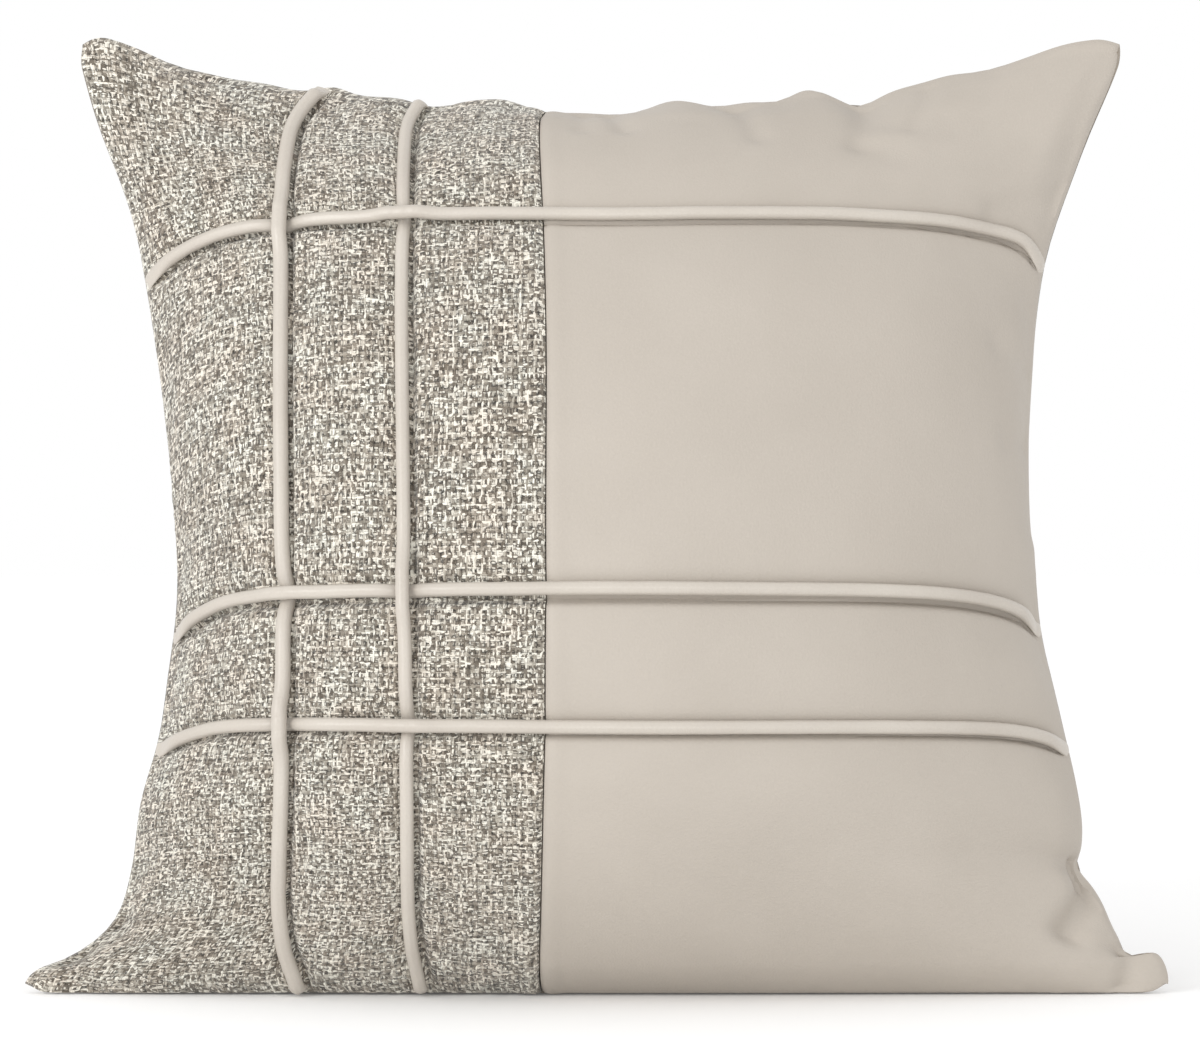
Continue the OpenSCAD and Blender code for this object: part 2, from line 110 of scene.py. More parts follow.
# Cords, by their place on the flat cover
UPRIGHT_LEFT, UPRIGHT_RIGHT = 88.0, 144.0
CROSS_LOW, CROSS_MID, CROSS_HIGH = 152.0, 207.0, 353.0
UPRIGHTS = (UPRIGHT_LEFT, UPRIGHT_RIGHT)
CROSSINGS = (CROSS_LOW, CROSS_MID, CROSS_HIGH)
LOOM = 3.1                # spacing of the woven panel's crossings
CREVICE = 2.4             # depth of the crease beside a cord

# Zip
ZIP_H = 36.0
ZIP_S = CURL_S + ZIP_H - CURL_R
ZIP_LEN = 300.0
TOOTH = 1.7
PANEL_EDGE = 8.0          # from the zip's middle to each back panel's turned edge
TAPE_W = 13.0
TAPE_T = 0.6
TAPE_GAP = 0.8
TAPE_Y = BAND_Y - 1.3
COIL_Y = TAPE_Y + TAPE_T + 0.15
FACE_Y = BAND_Y + 1.7     # the outer face of the turned edges
STITCH = 4.0              # pitch of the stitches beside the zip
STITCHES = 74             # in each row
STITCH_ROWS = (PANEL_EDGE + 1.5, PANEL_EDGE + 5)

# Layers inside the cover: how far each lies in, its share of the cover's size, its thickness
INSERT_IN, INSERT_SIZE, INSERT_T = 7.0, 0.95, 0.8
FILL_IN, FILL_SIZE = 12.0, 0.9

# How the cloth settles: places along each side, frames, and the most that a place may move
SETTLE_N = 84
SETTLE_FRAMES = 22
SETTLE_CAP = 6.0


def mix(a, b, t):
    return a + (b - a) * t


def smooth(t):
    s = np.clip(t, 0.0, 1.0)
    return s * s * (3 - 2 * s)


def power(base, by):
    return np.power(np.maximum(base, 0.0), by)


def bell(d, width):
    return np.exp(-(d / width) ** 2)


def lumps(x, y, size, seed):
    """Smooth random relief from -1 to 1, in lumps about size mm across"""
    table = np.random.RandomState(seed).uniform(-1, 1, (256, 256))
    gx, gy = np.broadcast_arrays(x / size, y / size)
    ix, iy = np.floor(gx).astype(int), np.floor(gy).astype(int)
    fx, fy = smooth(gx - ix), smooth(gy - iy)
    near = mix(table[ix % 256, iy % 256], table[(ix + 1) % 256, iy % 256], fx)
    far = mix(table[ix % 256, (iy + 1) % 256], table[(ix + 1) % 256, (iy + 1) % 256], fx)
    return mix(near, far, fy)


# ---------------------------------------------------------------- shape of the stuffed cover
# u runs across the cover from -1 to 1 and v up the cloth from 0 to 1
def on_cloth(u, v):
    """A place on the flat cloth in mm, from the middle of its bottom edge"""
    return u * SIDE / 2, v * SIDE


def from_side(u):
    """How far a place on the flat cloth is from the nearer side, in mm"""
    return (1 - np.abs(u)) * SIDE / 2


def from_edge(u, v):
    """How far a place on the flat cloth is from the nearest edge, in mm"""
    return np.minimum(from_side(u), np.minimum(v, 1 - v) * SIDE)


def place_grid(n):
    """Even places over the whole cloth, n steps each way"""
    return np.broadcast_arrays(np.linspace(-1, 1, n + 1)[None, :],
                               np.linspace(0, 1, n + 1)[:, None])


def over_layer(u, v, size):
    """The place on the cover over a place on a layer that is cut to a share of its size"""
    return size * u, 0.5 + size * (v - 0.5)


def seam_plane(z):
    return FOOT_Y + z * LEAN


def half_width(z):
    rise = np.clip((z - WAIST_H) / (TOP_EAR - WAIST_H), 0, None)
    drop = np.clip((WAIST_H - z) / (WAIST_H - SEAM_H), 0, None)
    upper = mix(WAIST_HALF, TOP_HALF, rise ** 1.75)
    lower = WAIST_HALF + WAIST_FLARE * drop ** 1.8
    lower = lower + (CORNER_HALF - WAIST_HALF - WAIST_FLARE) * drop ** 10
    return np.where(z > WAIST_H, upper, lower)


def side_height(v):
    return SEAM_H + (TOP_EAR - SEAM_H) * power(v, 1.27)


def across(u, v):
    """A place's share of the half width: the stuffing draws the cloth in towards the sides"""
    a = np.abs(u)
    body = np.sqrt(np.sin(np.pi * np.clip(v, 0, 1)))
    return np.sign(u) * mix(a * (0.9 + 0.1 * a ** 4), 0.6 * a + 0.4 * np.sin(np.pi / 2 * a), body)


def edge_roll(u, v):
    """How far a cloth's face is from the seam plane: it rolls in over the last few mm"""
    t = 1 - np.clip(from_edge(u, v) / SEAM_ROLL, 0, 1)
    return SEAM_IN + (SEAM_OUT - SEAM_IN) * np.sqrt(1 - t * t)


def front_shape(u, v, d=0.0, size=1.0, roll=True):
    """The front's even shape, or that of a layer d mm inside it"""
    u0, v0 = np.broadcast_arrays(np.asarray(u, float), np.asarray(v, float))
    u, v = over_layer(u0, v0, size)
    a = np.abs(u)
    h = side_height(v)
    corner = 5 - 3 * smooth((v - 0.8) / 0.2)
    mid = mix(SEAM_H, TOP_MID, v - (0.02 + 0.075 * v) * np.sin(2 * np.pi * v))
    z = mix(mid, h, a ** corner) + d * np.cos(np.pi * v)
    depth = FRONT_DEPTH * power(np.sin(np.pi * power(v, 0.93)), 0.72)
    depth = depth * power(np.cos(np.pi / 2 * a), 0.75) * (1 - d / FRONT_DEPTH)
    if size < 1:
        depth = depth * closing(u0, v0, size)
    e = edge_roll(u0, v0) if roll else 0.0
    return np.stack([(half_width(h) - d) * across(u, v), seam_plane(z) - e - depth, z], -1)


def back_middle(v):
    """The back's middle line, as depth and height"""
    s = v * SIDE
    t = np.clip((s - BAND_S) / (SIDE - BAND_S), 0, 1)
    top_z = mix(BAND_TOP, TOP_MID, t + 0.08 * np.sin(np.pi * t))
    top_y = seam_plane(top_z) + (BAND_Y - seam_plane(BAND_TOP)) * power(
        np.cos(np.pi / 2 * t ** 1.35), 0.62)
    slope = np.clip(s / RAMP, 0, 1)
    turn = np.clip((s - BASE_S) / (CURL_S - BASE_S), 0, 1) * np.pi / 2
    where = [s <= RAMP, s <= BASE_S, s <= CURL_S, s <= BAND_S]
    y = np.select(where, [
        mix(seam_plane(SEAM_H), BASE_FRONT, slope),
        mix(BASE_FRONT, BASE_REAR, (s - RAMP) / (BASE_S - RAMP)),
        BASE_REAR + CURL_R * np.sin(turn),
        BAND_Y + 0 * s], top_y)
    z = np.select(where, [
        SEAM_H * (1 - smooth(slope)),
        0 * s,
        CURL_R * (1 - np.cos(turn)),
        CURL_R + s - CURL_S], top_z)
    return y, z


def back_shape(u, v, d=0.0, size=1.0, roll=True):
    """The back's even shape, or that of a layer d mm inside it. It lies flat on the ground below,
    curls up behind, runs straight past the zip and then rounds over to the top."""
    u0, v0 = np.broadcast_arrays(np.asarray(u, float), np.asarray(v, float))
    u, v = over_layer(u0, v0, size)
    a = np.abs(u)
    h = side_height(v)
    flat = 0.86 * (1 - smooth((v - 0.33) / 0.4)) * mix(0.6, 1, smooth((v - 0.08) / 0.15))
    r = np.clip((a - flat) / (1 - flat), 0, 1)
    y, mid = back_middle(v)
    curled = smooth((v * SIDE - BASE_S) / (CURL_S - BASE_S))
    topped = np.clip((v * SIDE - BAND_S) / (SIDE - BAND_S), 0, 1) ** 1.5
    rise = np.cos(np.pi / 2 * curled) - np.sin(np.pi / 2 * topped)
    z = mix(mid, h, r ** 2) + d * mix(rise, np.cos(np.pi * v), r * r)
    depth_of = BAND_Y - FOOT_Y - ZIP_H * LEAN
    depth = (y - seam_plane(mid)) * power(np.cos(np.pi / 2 * r), 0.7) * (1 - d / depth_of)
    if size < 1:
        depth = depth * closing(u0, v0, size)
    e = edge_roll(u0, v0) if roll else 0.0
    return np.stack([(half_width(h) - d) * across(u, v), seam_plane(z) + e + depth, z], -1)


def closing(u, v, size):
    """An inner layer is cut smaller than the cover, and closes to its own seam"""
    top = power(np.cos(np.pi / 2 * np.abs(u)), 0.75) * power(np.sin(np.pi * v), 0.6)
    over_u, over_v = over_layer(u, v, size)
    under = power(np.cos(np.pi / 2 * np.abs(over_u)), 0.75) * power(np.sin(np.pi * over_v), 0.6)
    return top / under


def outward(shape, u, v, facing):
    """Which way the cloth faces"""
    k = 0.003
    u = np.clip(u, -1 + 2 * k, 1 - 2 * k)
    v = np.clip(v, 2 * k, 1 - 2 * k)
    du = shape(u + k, v, roll=False) - shape(u - k, v, roll=False)
    dv = shape(u, v + k, roll=False) - shape(u, v - k, roll=False)
    n = np.cross(du, dv) * facing
    return n / np.linalg.norm(n, axis=-1, keepdims=True)


# How far each side stands out from the even shape: height, spread and distance
LEATHER_LOBES = ((374, 32, 5.8), (290, 46, -4.4), (205, 40, 1.6), (165, 20, 1.6), (82, 55, 12.0),
                 (18, 20, 5.5), (49, 5, -2.4), (62, 12, 1.2), (36, 10, 3.0))
TWEED_LOBES = ((352, 40, 3.4), (300, 30, -1.0), (150, 52, -4.2), (72, 22, 2.6), (8, 11, 8.0))
# How far the top seam stands up between its gathers: place, spread and distance
TOP_SCALLOPS = ((-218, 8, 1.4), (-208, 22, 4.0), (-192, 12, -1.8), (-168, 14, -1.0), (-142, 10, -1.4),
                (-124, 8, 2.6), (-96, 15, 1.8), (-83, 7, -1.2), (-62, 9, 2.0), (-47, 15, 6.0),
                (-8, 14, 0.8), (38, 17, 6.4), (72, 19, 4.6), (99, 11, 5.8), (122, 9, -3.0),
                (142, 12, 1.6), (160, 12, 2.6), (205, 12, 1.0), (206, 32, 4.4))


def lobes(at, listed):
    return sum(out * bell(at - place, spread) for place, spread, out in listed)


def corner_turn(u, v):
    """Each corner of the cut is rounded: how far a place moves towards the middle, in mm"""
    p = np.minimum(from_side(u) - CORNER_R, 0)
    q = np.minimum(np.minimum(v, 1 - v) * SIDE - CORNER_R, 0)
    longest = np.maximum(-p, -q)
    scale = longest / np.maximum(np.hypot(p, q), 1e-6) - 1
    return p * scale, q * scale


def ear_fold(u, v):
    """The leather corner's tip is rolled up off the ground, and the woven one is lifted a little"""
    near = smooth(1 - from_side(u) / 30)
    leather_tip = near * (u > 0)
    woven_tip = near * (u < 0)
    rise = leather_tip * 8.0 * bell(v - 0.034, 0.02) + woven_tip * 3.0 * bell(v - 0.03, 0.025)
    out = leather_tip * (2.0 * bell(v - 0.026, 0.022) - 2.0 * bell(v - 0.075, 0.014))
    return out, rise


def seam_wander(u, v):
    """How the cover stands out of its even shape near the seam, the same front and back"""
    x, y = on_cloth(u, v)
    from_top = (1 - v) * SIDE
    height = side_height(v)
    side = lumps(y + 2 * SIDE * np.sign(u), 0 * y, 34, 5) * np.exp(-from_side(u) / 16)
    side = side * smooth(v * 6)
    stand = np.where(u > 0, lobes(height, LEATHER_LOBES), lobes(height, TWEED_LOBES))
    side = side + stand * smooth((np.abs(u) - 0.25) / 0.75)
    top = (lumps(x, 0 * x, 27, 6) * 0.6 + lobes(x, TOP_SCALLOPS)) * np.exp(-from_top / 22)
    turn_x, turn_z = corner_turn(u, v)
    ear_x, ear_z = ear_fold(u, v)
    out = side - turn_x + ear_x
    up = top - np.where(v > 0.5, turn_z, -turn_z) + ear_z
    return np.stack([np.sign(u) * out, LEAN * up, up], -1)


def puckers(along, away, seed, fine=0.5, broad=1.3):
    """Short gathers that run in from a seam and die out"""
    small = lumps(along + 0.15 * away, away * 0.12, 8, seed) * np.exp(-away / 10)
    large = lumps(along - 0.25 * away, away * 0.1, 21, seed + 1) * np.exp(-away / 30)
    return (fine * small + broad * large) * smooth(away / 5)


def all_puckers(u, v, seed, fine, broad):
    """The gathers along the top and both sides"""
    x, y = on_cloth(u, v)
    return (puckers(x, (1 - v) * SIDE, seed, fine, broad)
            + puckers(y, (1 - u) * SIDE / 2, seed + 10, fine, broad)
            + puckers(y, (1 + u) * SIDE / 2, seed + 20, fine, broad))


# Where each cord runs: an upright's distance from the middle up the cloth, and how far a cross
# cord is pulled up or down across it, in mm
UPRIGHT_V = (0, 0.05, 0.12, 0.25, 0.4, 0.55, 0.7, 0.85, 0.94, 0.97, 1)
UPRIGHT_X = {UPRIGHT_LEFT: (-115, -122, -123.5, -121.8, -120.4, -122.7, -124.8, -126.3, -124.5,
                            -121, -110),
             UPRIGHT_RIGHT: (-68, -72, -73, -72.6, -73, -74.6, -76.6, -77.5, -77.7, -76.5, -70)}
CROSS_U = (-1, -0.93, -0.8, -0.6, 0, 0.6, 0.8, 0.9, 0.96, 1)
CROSS_RISE = {CROSS_HIGH: (-1, 2, 4, 4, 2.7, 5.8, 9, 11.5, 13, 2),
              CROSS_MID: (-8, -3, 0, 0, 1.4, 0.7, 0.7, 0.7, -0.5, -5),
              CROSS_LOW: (-6, -2.5, 1, 1, 0.6, -0.4, -0.2, -1.2, -3.5, -7)}
# How sharply the cloth is creased beside each cross cord
CROSS_CREASE = {CROSS_HIGH: 1.15, CROSS_MID: 1.3, CROSS_LOW: 0.8}


def eased(t, at, values):
    """Runs smoothly through a few values"""
    fine = np.linspace(at[0], at[-1], 241)
    rough = np.interp(fine, at, values)
    span = np.exp(-np.linspace(-2, 2, 25) ** 2)
    longer = np.pad(rough, 12, mode="edge")
    return np.interp(t, fine, np.convolve(longer, span / span.sum(), mode="valid"))


def upright_lines():
    """Where each upright runs on the flat cloth, found from where it has to run on the cover"""
    lines = {}
    v = np.linspace(0.004, 0.996, 200)
    u = np.linspace(-0.9, 0.0, 240)
    x = (front_shape(u[None, :], v[:, None]) + seam_wander(u[None, :], v[:, None]))[..., 0]
    for at, places in UPRIGHT_X.items():
        wanted = eased(v, UPRIGHT_V, places)
        flat = [np.interp(wanted[k], x[k], u) for k in range(len(v))]
        lines[at] = (v, (np.array(flat) + 1) * SIDE / 2)
    return lines


UPRIGHT_LINES = upright_lines()


def upright_at(at, v):
    return np.interp(v, *UPRIGHT_LINES[at])


def cross_at(at, u):
    return at + eased(u, CROSS_U, CROSS_RISE[at])


def furrow(u, v, start, end, width):
    """A valley along a line between two places on the cloth, deepest at its middle"""
    x, y = on_cloth(u, v)
    ax, ay = on_cloth(*start)
    bx, by = on_cloth(*end)
    long = (bx - ax) ** 2 + (by - ay) ** 2
    t = np.clip(((x - ax) * (bx - ax) + (y - ay) * (by - ay)) / long, 0, 1)
    return bell(np.hypot(x - ax - t * (bx - ax), y - ay - t * (by - ay)), width)


def furrows(u, v, listed):
    """How deep all the listed furrows are at a place, in mm"""
    return sum(depth * furrow(u, v, start, end, width) for start, end, width, depth in listed)


# Furrows of the front at the two lower corners and along the seams: start, end, width, depth
FURROWS = (((0.985, 0.165), (0.885, 0.090), 7.5, 6.0), ((0.984, 0.196), (0.993, 0.168), 2.4, 3.4),
           ((1.0, 0.075), (0.93, 0.01), 4, 2.6), ((-0.99, 0.12), (-0.86, 0.06), 8, 2.6),
           ((-0.99, 0.07), (-0.9, 0.01), 5, 2.0), ((0.02, 1.0), (0.05, 0.93), 5, 1.8),
           ((0.27, 1.0), (0.30, 0.91), 6, 1.6), ((0.53, 1.0), (0.50, 0.90), 7, 2.2),
           ((0.66, 1.0), (0.61, 0.93), 5, 1.3), ((0.99, 0.63), (0.88, 0.61), 6, 1.6),
           ((0.99, 0.70), (0.86, 0.69), 7, 1.6), ((0.99, 0.86), (0.84, 0.83), 8, 1.8),
           ((-0.03, 0.99), (-0.03, 0.93), 5, 1.4), ((-0.78, 1.0), (-0.74, 0.93), 6, 1.4))


def front_swell(u, v):
    """What the stuffing and the cords do to the front, along its outward direction"""
    x, y = (u + 1) * SIDE / 2, v * SIDE
    away = from_edge(u, v)
    puff = 1.0
    groove = 0.0
    beside = [x - upright_at(at, v) for at in UPRIGHTS]
    below = [y - cross_at(at, u) for at in CROSSINGS]
    for off in beside + below:
        puff = puff * (1 - bell(off, 22))
        groove = groove + bell(off, 5)
    relief = (2.6 * puff - 2.0 * np.minimum(groove, 1.7)) * smooth(away / 22)
    return relief + 0.8 * lumps(x, y, 62, 3) * smooth(away / 50)


def crevice(u, v):
    """The cords pull to the right and down, so the cloth is creased sharply along that side"""
    x, y = (u + 1) * SIDE / 2, v * SIDE
    beside = sum(bell(x - upright_at(at, v) - 4.1, 1.5) for at in UPRIGHTS)
    below = sum(CROSS_CREASE[at] * bell(y - cross_at(at, u) + 3.7, 1.5) for at in CROSSINGS)
    return CREVICE * np.minimum(beside + below, 1.35) * smooth(from_edge(u, v) / 12)


def front_relief(u, v):
    """The front's whole relief; the leather shows finer gathers than the tweed"""
    relief = front_swell(u, v) - crevice(u, v)
    relief = relief - furrows(u, v, FURROWS) * smooth(from_edge(u, v) / 4)
    return relief + all_puckers(u, v, 40, 0.35 + 0.25 * (u > 0), 1.5)


def back_upper(v):
    """Is 1 on the back above the zip, where the cloth is free"""
    return smooth((v * SIDE - BAND_S - 5) / 60)


def from_upper_edge(u, v):
    return np.minimum(from_side(u), (1 - v) * SIDE)


def back_swell(u, v):
    """What the stuffing does to the back; it bulges out beside the upper part of the right edge"""
    x, y = on_cloth(u, v)
    relief = back_upper(v) * 1.4 * lumps(x, y, 70, 12) * smooth(from_upper_edge(u, v) / 50)
    bulge = bell((1 - u) * SIDE / 2 - 8, 8) * smooth((v - 0.62) / 0.16)
    return relief + 6.0 * bulge * smooth((1 - v) * SIDE / 30)


# The same for the back, where the upper corners draw the cloth and the zip holds it down
BACK_FURROWS = (((-0.97, 0.97), (-0.72, 0.80), 8, 2.4), ((-0.99, 0.90), (-0.80, 0.68), 7, 1.8),
                ((0.97, 0.97), (0.75, 0.82), 8, 2.4), ((0.99, 0.88), (0.84, 0.70), 7, 1.6),
                ((-0.99, 0.55), (-0.84, 0.50), 6, 1.6), ((0.99, 0.50), (0.86, 0.46), 6, 1.6),
                ((-0.30, 1.0), (-0.26, 0.90), 7, 1.6), ((0.22, 1.0), (0.19, 0.89), 7, 1.8),
                ((0.55, 1.0), (0.50, 0.92), 6, 1.4), ((-0.60, 0.37), (-0.42, 0.46), 9, 1.2),
                ((0.62, 0.36), (0.40, 0.44), 9, 1.2))


def back_relief(u, v):
    upper = back_upper(v)
    relief = back_swell(u, v) + all_puckers(u, v, 70, 0.7, 2.2) * mix(0.25, 1, upper)
    return relief - furrows(u, v, BACK_FURROWS) * smooth(from_upper_edge(u, v) / 4) * upper


def stuffed(side, u, v):
    """The even stuffed shape of one side, before the cloth settles"""
    shape = back_shape if side else front_shape
    relief = back_swell(u, v) if side else front_swell(u, v)
    p = shape(u, v) + outward(shape, u, v, -1 if side else 1) * relief[..., None]
    return p + seam_wander(u, v)


def quads(index, turned):
    """The faces of a grid of numbered places"""
    a, b, c, d = index[:-1, :-1], index[:-1, 1:], index[1:, 1:], index[1:, :-1]
    order = [a, d, c, b] if turned else [a, b, c, d]
    return np.stack(order, -1).reshape(-1, 4).tolist()


def sewn_index(n):
    """Numbers the places of a front and a back grid that share the ones along their edge"""
    front = np.arange((n + 1) ** 2).reshape(n + 1, n + 1)
    back = front.copy()
    back[1:-1, 1:-1] = front.size + np.arange((n - 1) ** 2).reshape(n - 1, n - 1)
    return front, back


def sewn_places(front, back):
    """The places in the order that sewn_index numbers them"""
    kind = front.shape[2:]
    return np.concatenate([front.reshape(-1, *kind), back[1:-1, 1:-1].reshape(-1, *kind)])


def held_share(u, v):
    """How firmly each place is held, by the cords, the join, the side seams, the zip and the
    ground: for the front and for the back"""
    x, y = (u + 1) * SIDE / 2, v * SIDE
    front = 0.8 * bell(x - JOIN_AT, 6)
    for at in UPRIGHTS:
        front = np.maximum(front, 0.9 * bell(x - upright_at(at, v), 7))
    for at in CROSSINGS:
        front = np.maximum(front, 0.9 * bell(y - cross_at(at, u), 7))
    back = smooth((BAND_S + 12 - y) / 20) * (np.abs(u) < 0.97)
    least = np.where(np.abs(u) == 1, 0.25, 0.03)
    return np.maximum(front, least), np.maximum(back, least)


def sewn_cover(even, u, v):
    """The cover as one sewn cloth, with its flat cut as a second shape"""
    index = sewn_index(SETTLE_N)
    mesh = bpy.data.meshes.new("settling_cover")
    mesh.from_pydata(sewn_places(*even) * MM, [], quads(index[0], False) + quads(index[1], True))
    cover = bpy.data.objects.new("settling_cover", mesh)
    scene.collection.objects.link(cover)
    cover.shape_key_add(name="stuffed")
    flat = np.stack([u * SIDE / 2, 0 * u, v * SIDE], -1)
    cut = cover.shape_key_add(name="flat_cut")
    cut.data.foreach_set("co", (sewn_places(flat - [0, 0.4, 0], flat + [0, 0.4, 0]) * MM).ravel())
    group = cover.vertex_groups.new(name="held")
    for k, share in enumerate(sewn_places(*held_share(u, v))):
        group.add([k], float(share), "REPLACE")
    return cover, cut


def settle():
    """Lets the cover find its own creases: a cloth with the cut's flat size as its rest shape is
    blown up gently from inside, held by the cords, the zip and the ground. Gives how far each
    place moves from the even shape, for the front and for the back."""
    u, v = place_grid(SETTLE_N)
    even = [stuffed(0, u, v), stuffed(1, u, v)]
    cover, cut = sewn_cover(even, u, v)
    cloth = cover.modifiers.new("cloth", "CLOTH")
    settings = cloth.settings
    settings.quality = 6
    settings.mass = 0.25
    settings.tension_stiffness = 12
    settings.compression_stiffness = 12
    settings.shear_stiffness = 6
    settings.bending_stiffness = 0.35
    settings.tension_damping = 8
    settings.compression_damping = 8
    settings.air_damping = 3
    settings.use_pressure = True
    settings.uniform_pressure_force = 3.5
    settings.effector_weights.gravity = 0
    settings.vertex_group_mass = "held"
    settings.pin_stiffness = 4
    settings.rest_shape_key = cut
    cloth.collision_settings.use_collision = False
    for frame_now in range(1, SETTLE_FRAMES + 1):
        scene.frame_set(frame_now)
    settled = cover.evaluated_get(bpy.context.evaluated_depsgraph_get())
    places = np.empty(len(cover.data.vertices) * 3, dtype=np.float32)
    settled.data.vertices.foreach_get("co", places)
    places = places.reshape(-1, 3) / MM
    scene.frame_set(1)
    bpy.data.objects.remove(cover)
    moved = np.stack([places[index] - shape for index, shape in zip(sewn_index(SETTLE_N), even)])
    far = np.linalg.norm(moved, axis=-1, keepdims=True)
    return moved * SETTLE_CAP * np.tanh(far / SETTLE_CAP) / np.maximum(far, 1e-6)


SETTLED = np.pad(settle(), ((0, 0), (1, 2), (1, 2), (0, 0)), mode="edge")


def drift(side, u, v):
    """How far the settled cloth is from the even shape, smoothly between the simulated places"""
    x = np.clip((u + 1) / 2 * SETTLE_N, 0, SETTLE_N)
    y = np.clip(v * SETTLE_N, 0, SETTLE_N)
    i, j = np.minimum(x.astype(int), SETTLE_N - 1), np.minimum(y.astype(int), SETTLE_N - 1)
    fx, fy = x - i, y - j

    def spline(t):
        return ((1 - t) ** 3 / 6, (3 * t ** 3 - 6 * t ** 2 + 4) / 6,
                (-3 * t ** 3 + 3 * t ** 2 + 3 * t + 1) / 6, t ** 3 / 6)

    total = 0.0
    for a, wa in enumerate(spline(fx)):
        for b, wb in enumerate(spline(fy)):
            total = total + SETTLED[side][j + b, i + a] * (wa * wb)[..., None]
    return total


def front_cloth(u, v, extra=0.0):
    """The finished front, extra mm further out; its foot is pressed down to the ground"""
    relief = np.expand_dims(front_relief(u, v) + extra, -1)
    p = front_shape(u, v) + outward(front_shape, u, v, 1) * relief + seam_wander(u, v)
    p = p + drift(0, u, v)
    p[..., 2] = p[..., 2] - 5.0 * np.exp(-np.maximum(p[..., 2], 0) / 12)
    p[..., 2] = np.maximum(p[..., 2], 0.4)
    return p


def back_cloth(u, v, extra=0.0):
    """The finished back, extra mm further out; only its edge is pressed down, as it lies flat"""
    relief = np.expand_dims(back_relief(u, v) + extra, -1)
    p = back_shape(u, v) + outward(back_shape, u, v, -1) * relief + seam_wander(u, v)
    p = p + drift(1, u, v)
    at_seam = np.minimum(from_side(u), v * SIDE)
    p[..., 2] = p[..., 2] - 5.0 * np.exp(-np.maximum(p[..., 2], 0) / 12) * np.exp(-at_seam / 9)
    p[..., 2] = np.maximum(p[..., 2], 0.0)
    return p


# ---------------------------------------------------------------- making meshes
SHARP_ANGLE = 38          # an edge that turns more than this shows as an edge, in degrees
LINING_STEP = 4           # how many of the face's steps make one of the lining's


def piece(name, points, faces, uv, material, slot, node):
    """A finished piece of the cushion: its mesh in metres, its cloth coordinates, its material, a
    slot that is not used, and the CAD node that it stands for"""
    mesh = bpy.data.meshes.new(name)
    mesh.from_pydata(np.asarray(points, float) * MM, [], faces)
    if uv is not None:
        layer = mesh.uv_layers.new(name="cloth")
        corners = np.empty(len(mesh.loops), dtype=np.int32)
        mesh.loops.foreach_get("vertex_index", corners)
        layer.data.foreach_set("uv", (uv[corners] * MM).ravel())
    mesh.polygons.foreach_set("use_smooth", np.ones(len(mesh.polygons), dtype=bool))
    mesh.set_sharp_from_angle(angle=math.radians(SHARP_ANGLE))
    mesh.update()
    made = bpy.data.objects.new(name, mesh)
    scene.collection.objects.link(made)
    made.data.materials.append(material)
    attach(made, "cushion")
    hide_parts(node)
    return made


def shell_faces(rows, cols, step, turned):
    """A closed piece of cloth: a fine face, and a lining grid that keeps each step-th place"""
    low_rows, low_cols = (rows - 1) // step + 1, (cols - 1) // step + 1
    face = np.arange(rows * cols).reshape(rows, cols)
    lining = face.size + np.arange(low_rows * low_cols).reshape(low_rows, low_cols)
    faces = quads(face, turned) + quads(lining, not turned)

    def rim(line, low_line, flip):
        for k in range(len(low_line) - 1):
            run = line[k * step:(k + 1) * step + 1]
            strip = [int(i) for i in (low_line[k], *run, low_line[k + 1])]
            faces.append(strip[::-1] if flip != turned else strip)

    rim(face[0], lining[0], True)
    rim(face[-1], lining[-1], False)
    rim(face[:, 0], lining[:, 0], False)
    rim(face[:, -1], lining[:, -1], True)
    return faces


def shell(name, outer, lining, flat, turned, material, slot, node):
    """A piece of cloth from its face, its lining and the face's places on the flat cut. The lining
    has all of the face's places, or each second, third... of them."""
    step = (len(outer) - 1) // (len(lining) - 1)
    points = np.concatenate([outer.reshape(-1, 3), lining.reshape(-1, 3)])
    places = np.concatenate([flat.reshape(-1, 2), flat[::step, ::step].reshape(-1, 2)])
    faces = shell_faces(*outer.shape[:2], step, turned)
    return piece(name, points, faces, places, material, slot, node)


def cover_panel(name, cloth, sides, ends, count, thick, relief, turned, material, slot, node):
    """A panel of the cover, between its two sides and its lower and upper end, with its face's
    relief and a plain lining that closes to the face at the seam"""
    across_n, up_n = count
    s = np.linspace(0, 1, across_n + 1)[None, :]
    t = np.linspace(0, 1, up_n + 1)[:, None]
    u = mix(sides[0](t), sides[1](t), s)
    v = mix(ends[0](u), ends[1](u), t)
    flat = np.stack(on_cloth(u, v), -1)
    outer = cloth(u, v, relief(u, v))
    u, v = u[::LINING_STEP, ::LINING_STEP], v[::LINING_STEP, ::LINING_STEP]
    lining = cloth(u, v, -thick * smooth(0.12 + from_edge(u, v) / 5))
    return shell(name, outer, lining, flat, turned, material, slot, node)


def frames(path, normals, closed=False):
    """The directions across a path, at each of its points"""
    if closed:
        along = np.roll(path, -1, 0) - np.roll(path, 1, 0)
    else:
        along = np.gradient(path, axis=0)
    t = along / np.linalg.norm(along, axis=1, keepdims=True)
    n = normals - (normals * t).sum(1, keepdims=True) * t
    n = n / np.linalg.norm(n, axis=1, keepdims=True)
    return n, np.cross(t, n)


def round_steps(sides):
    return np.arange(sides) * 2 * np.pi / sides


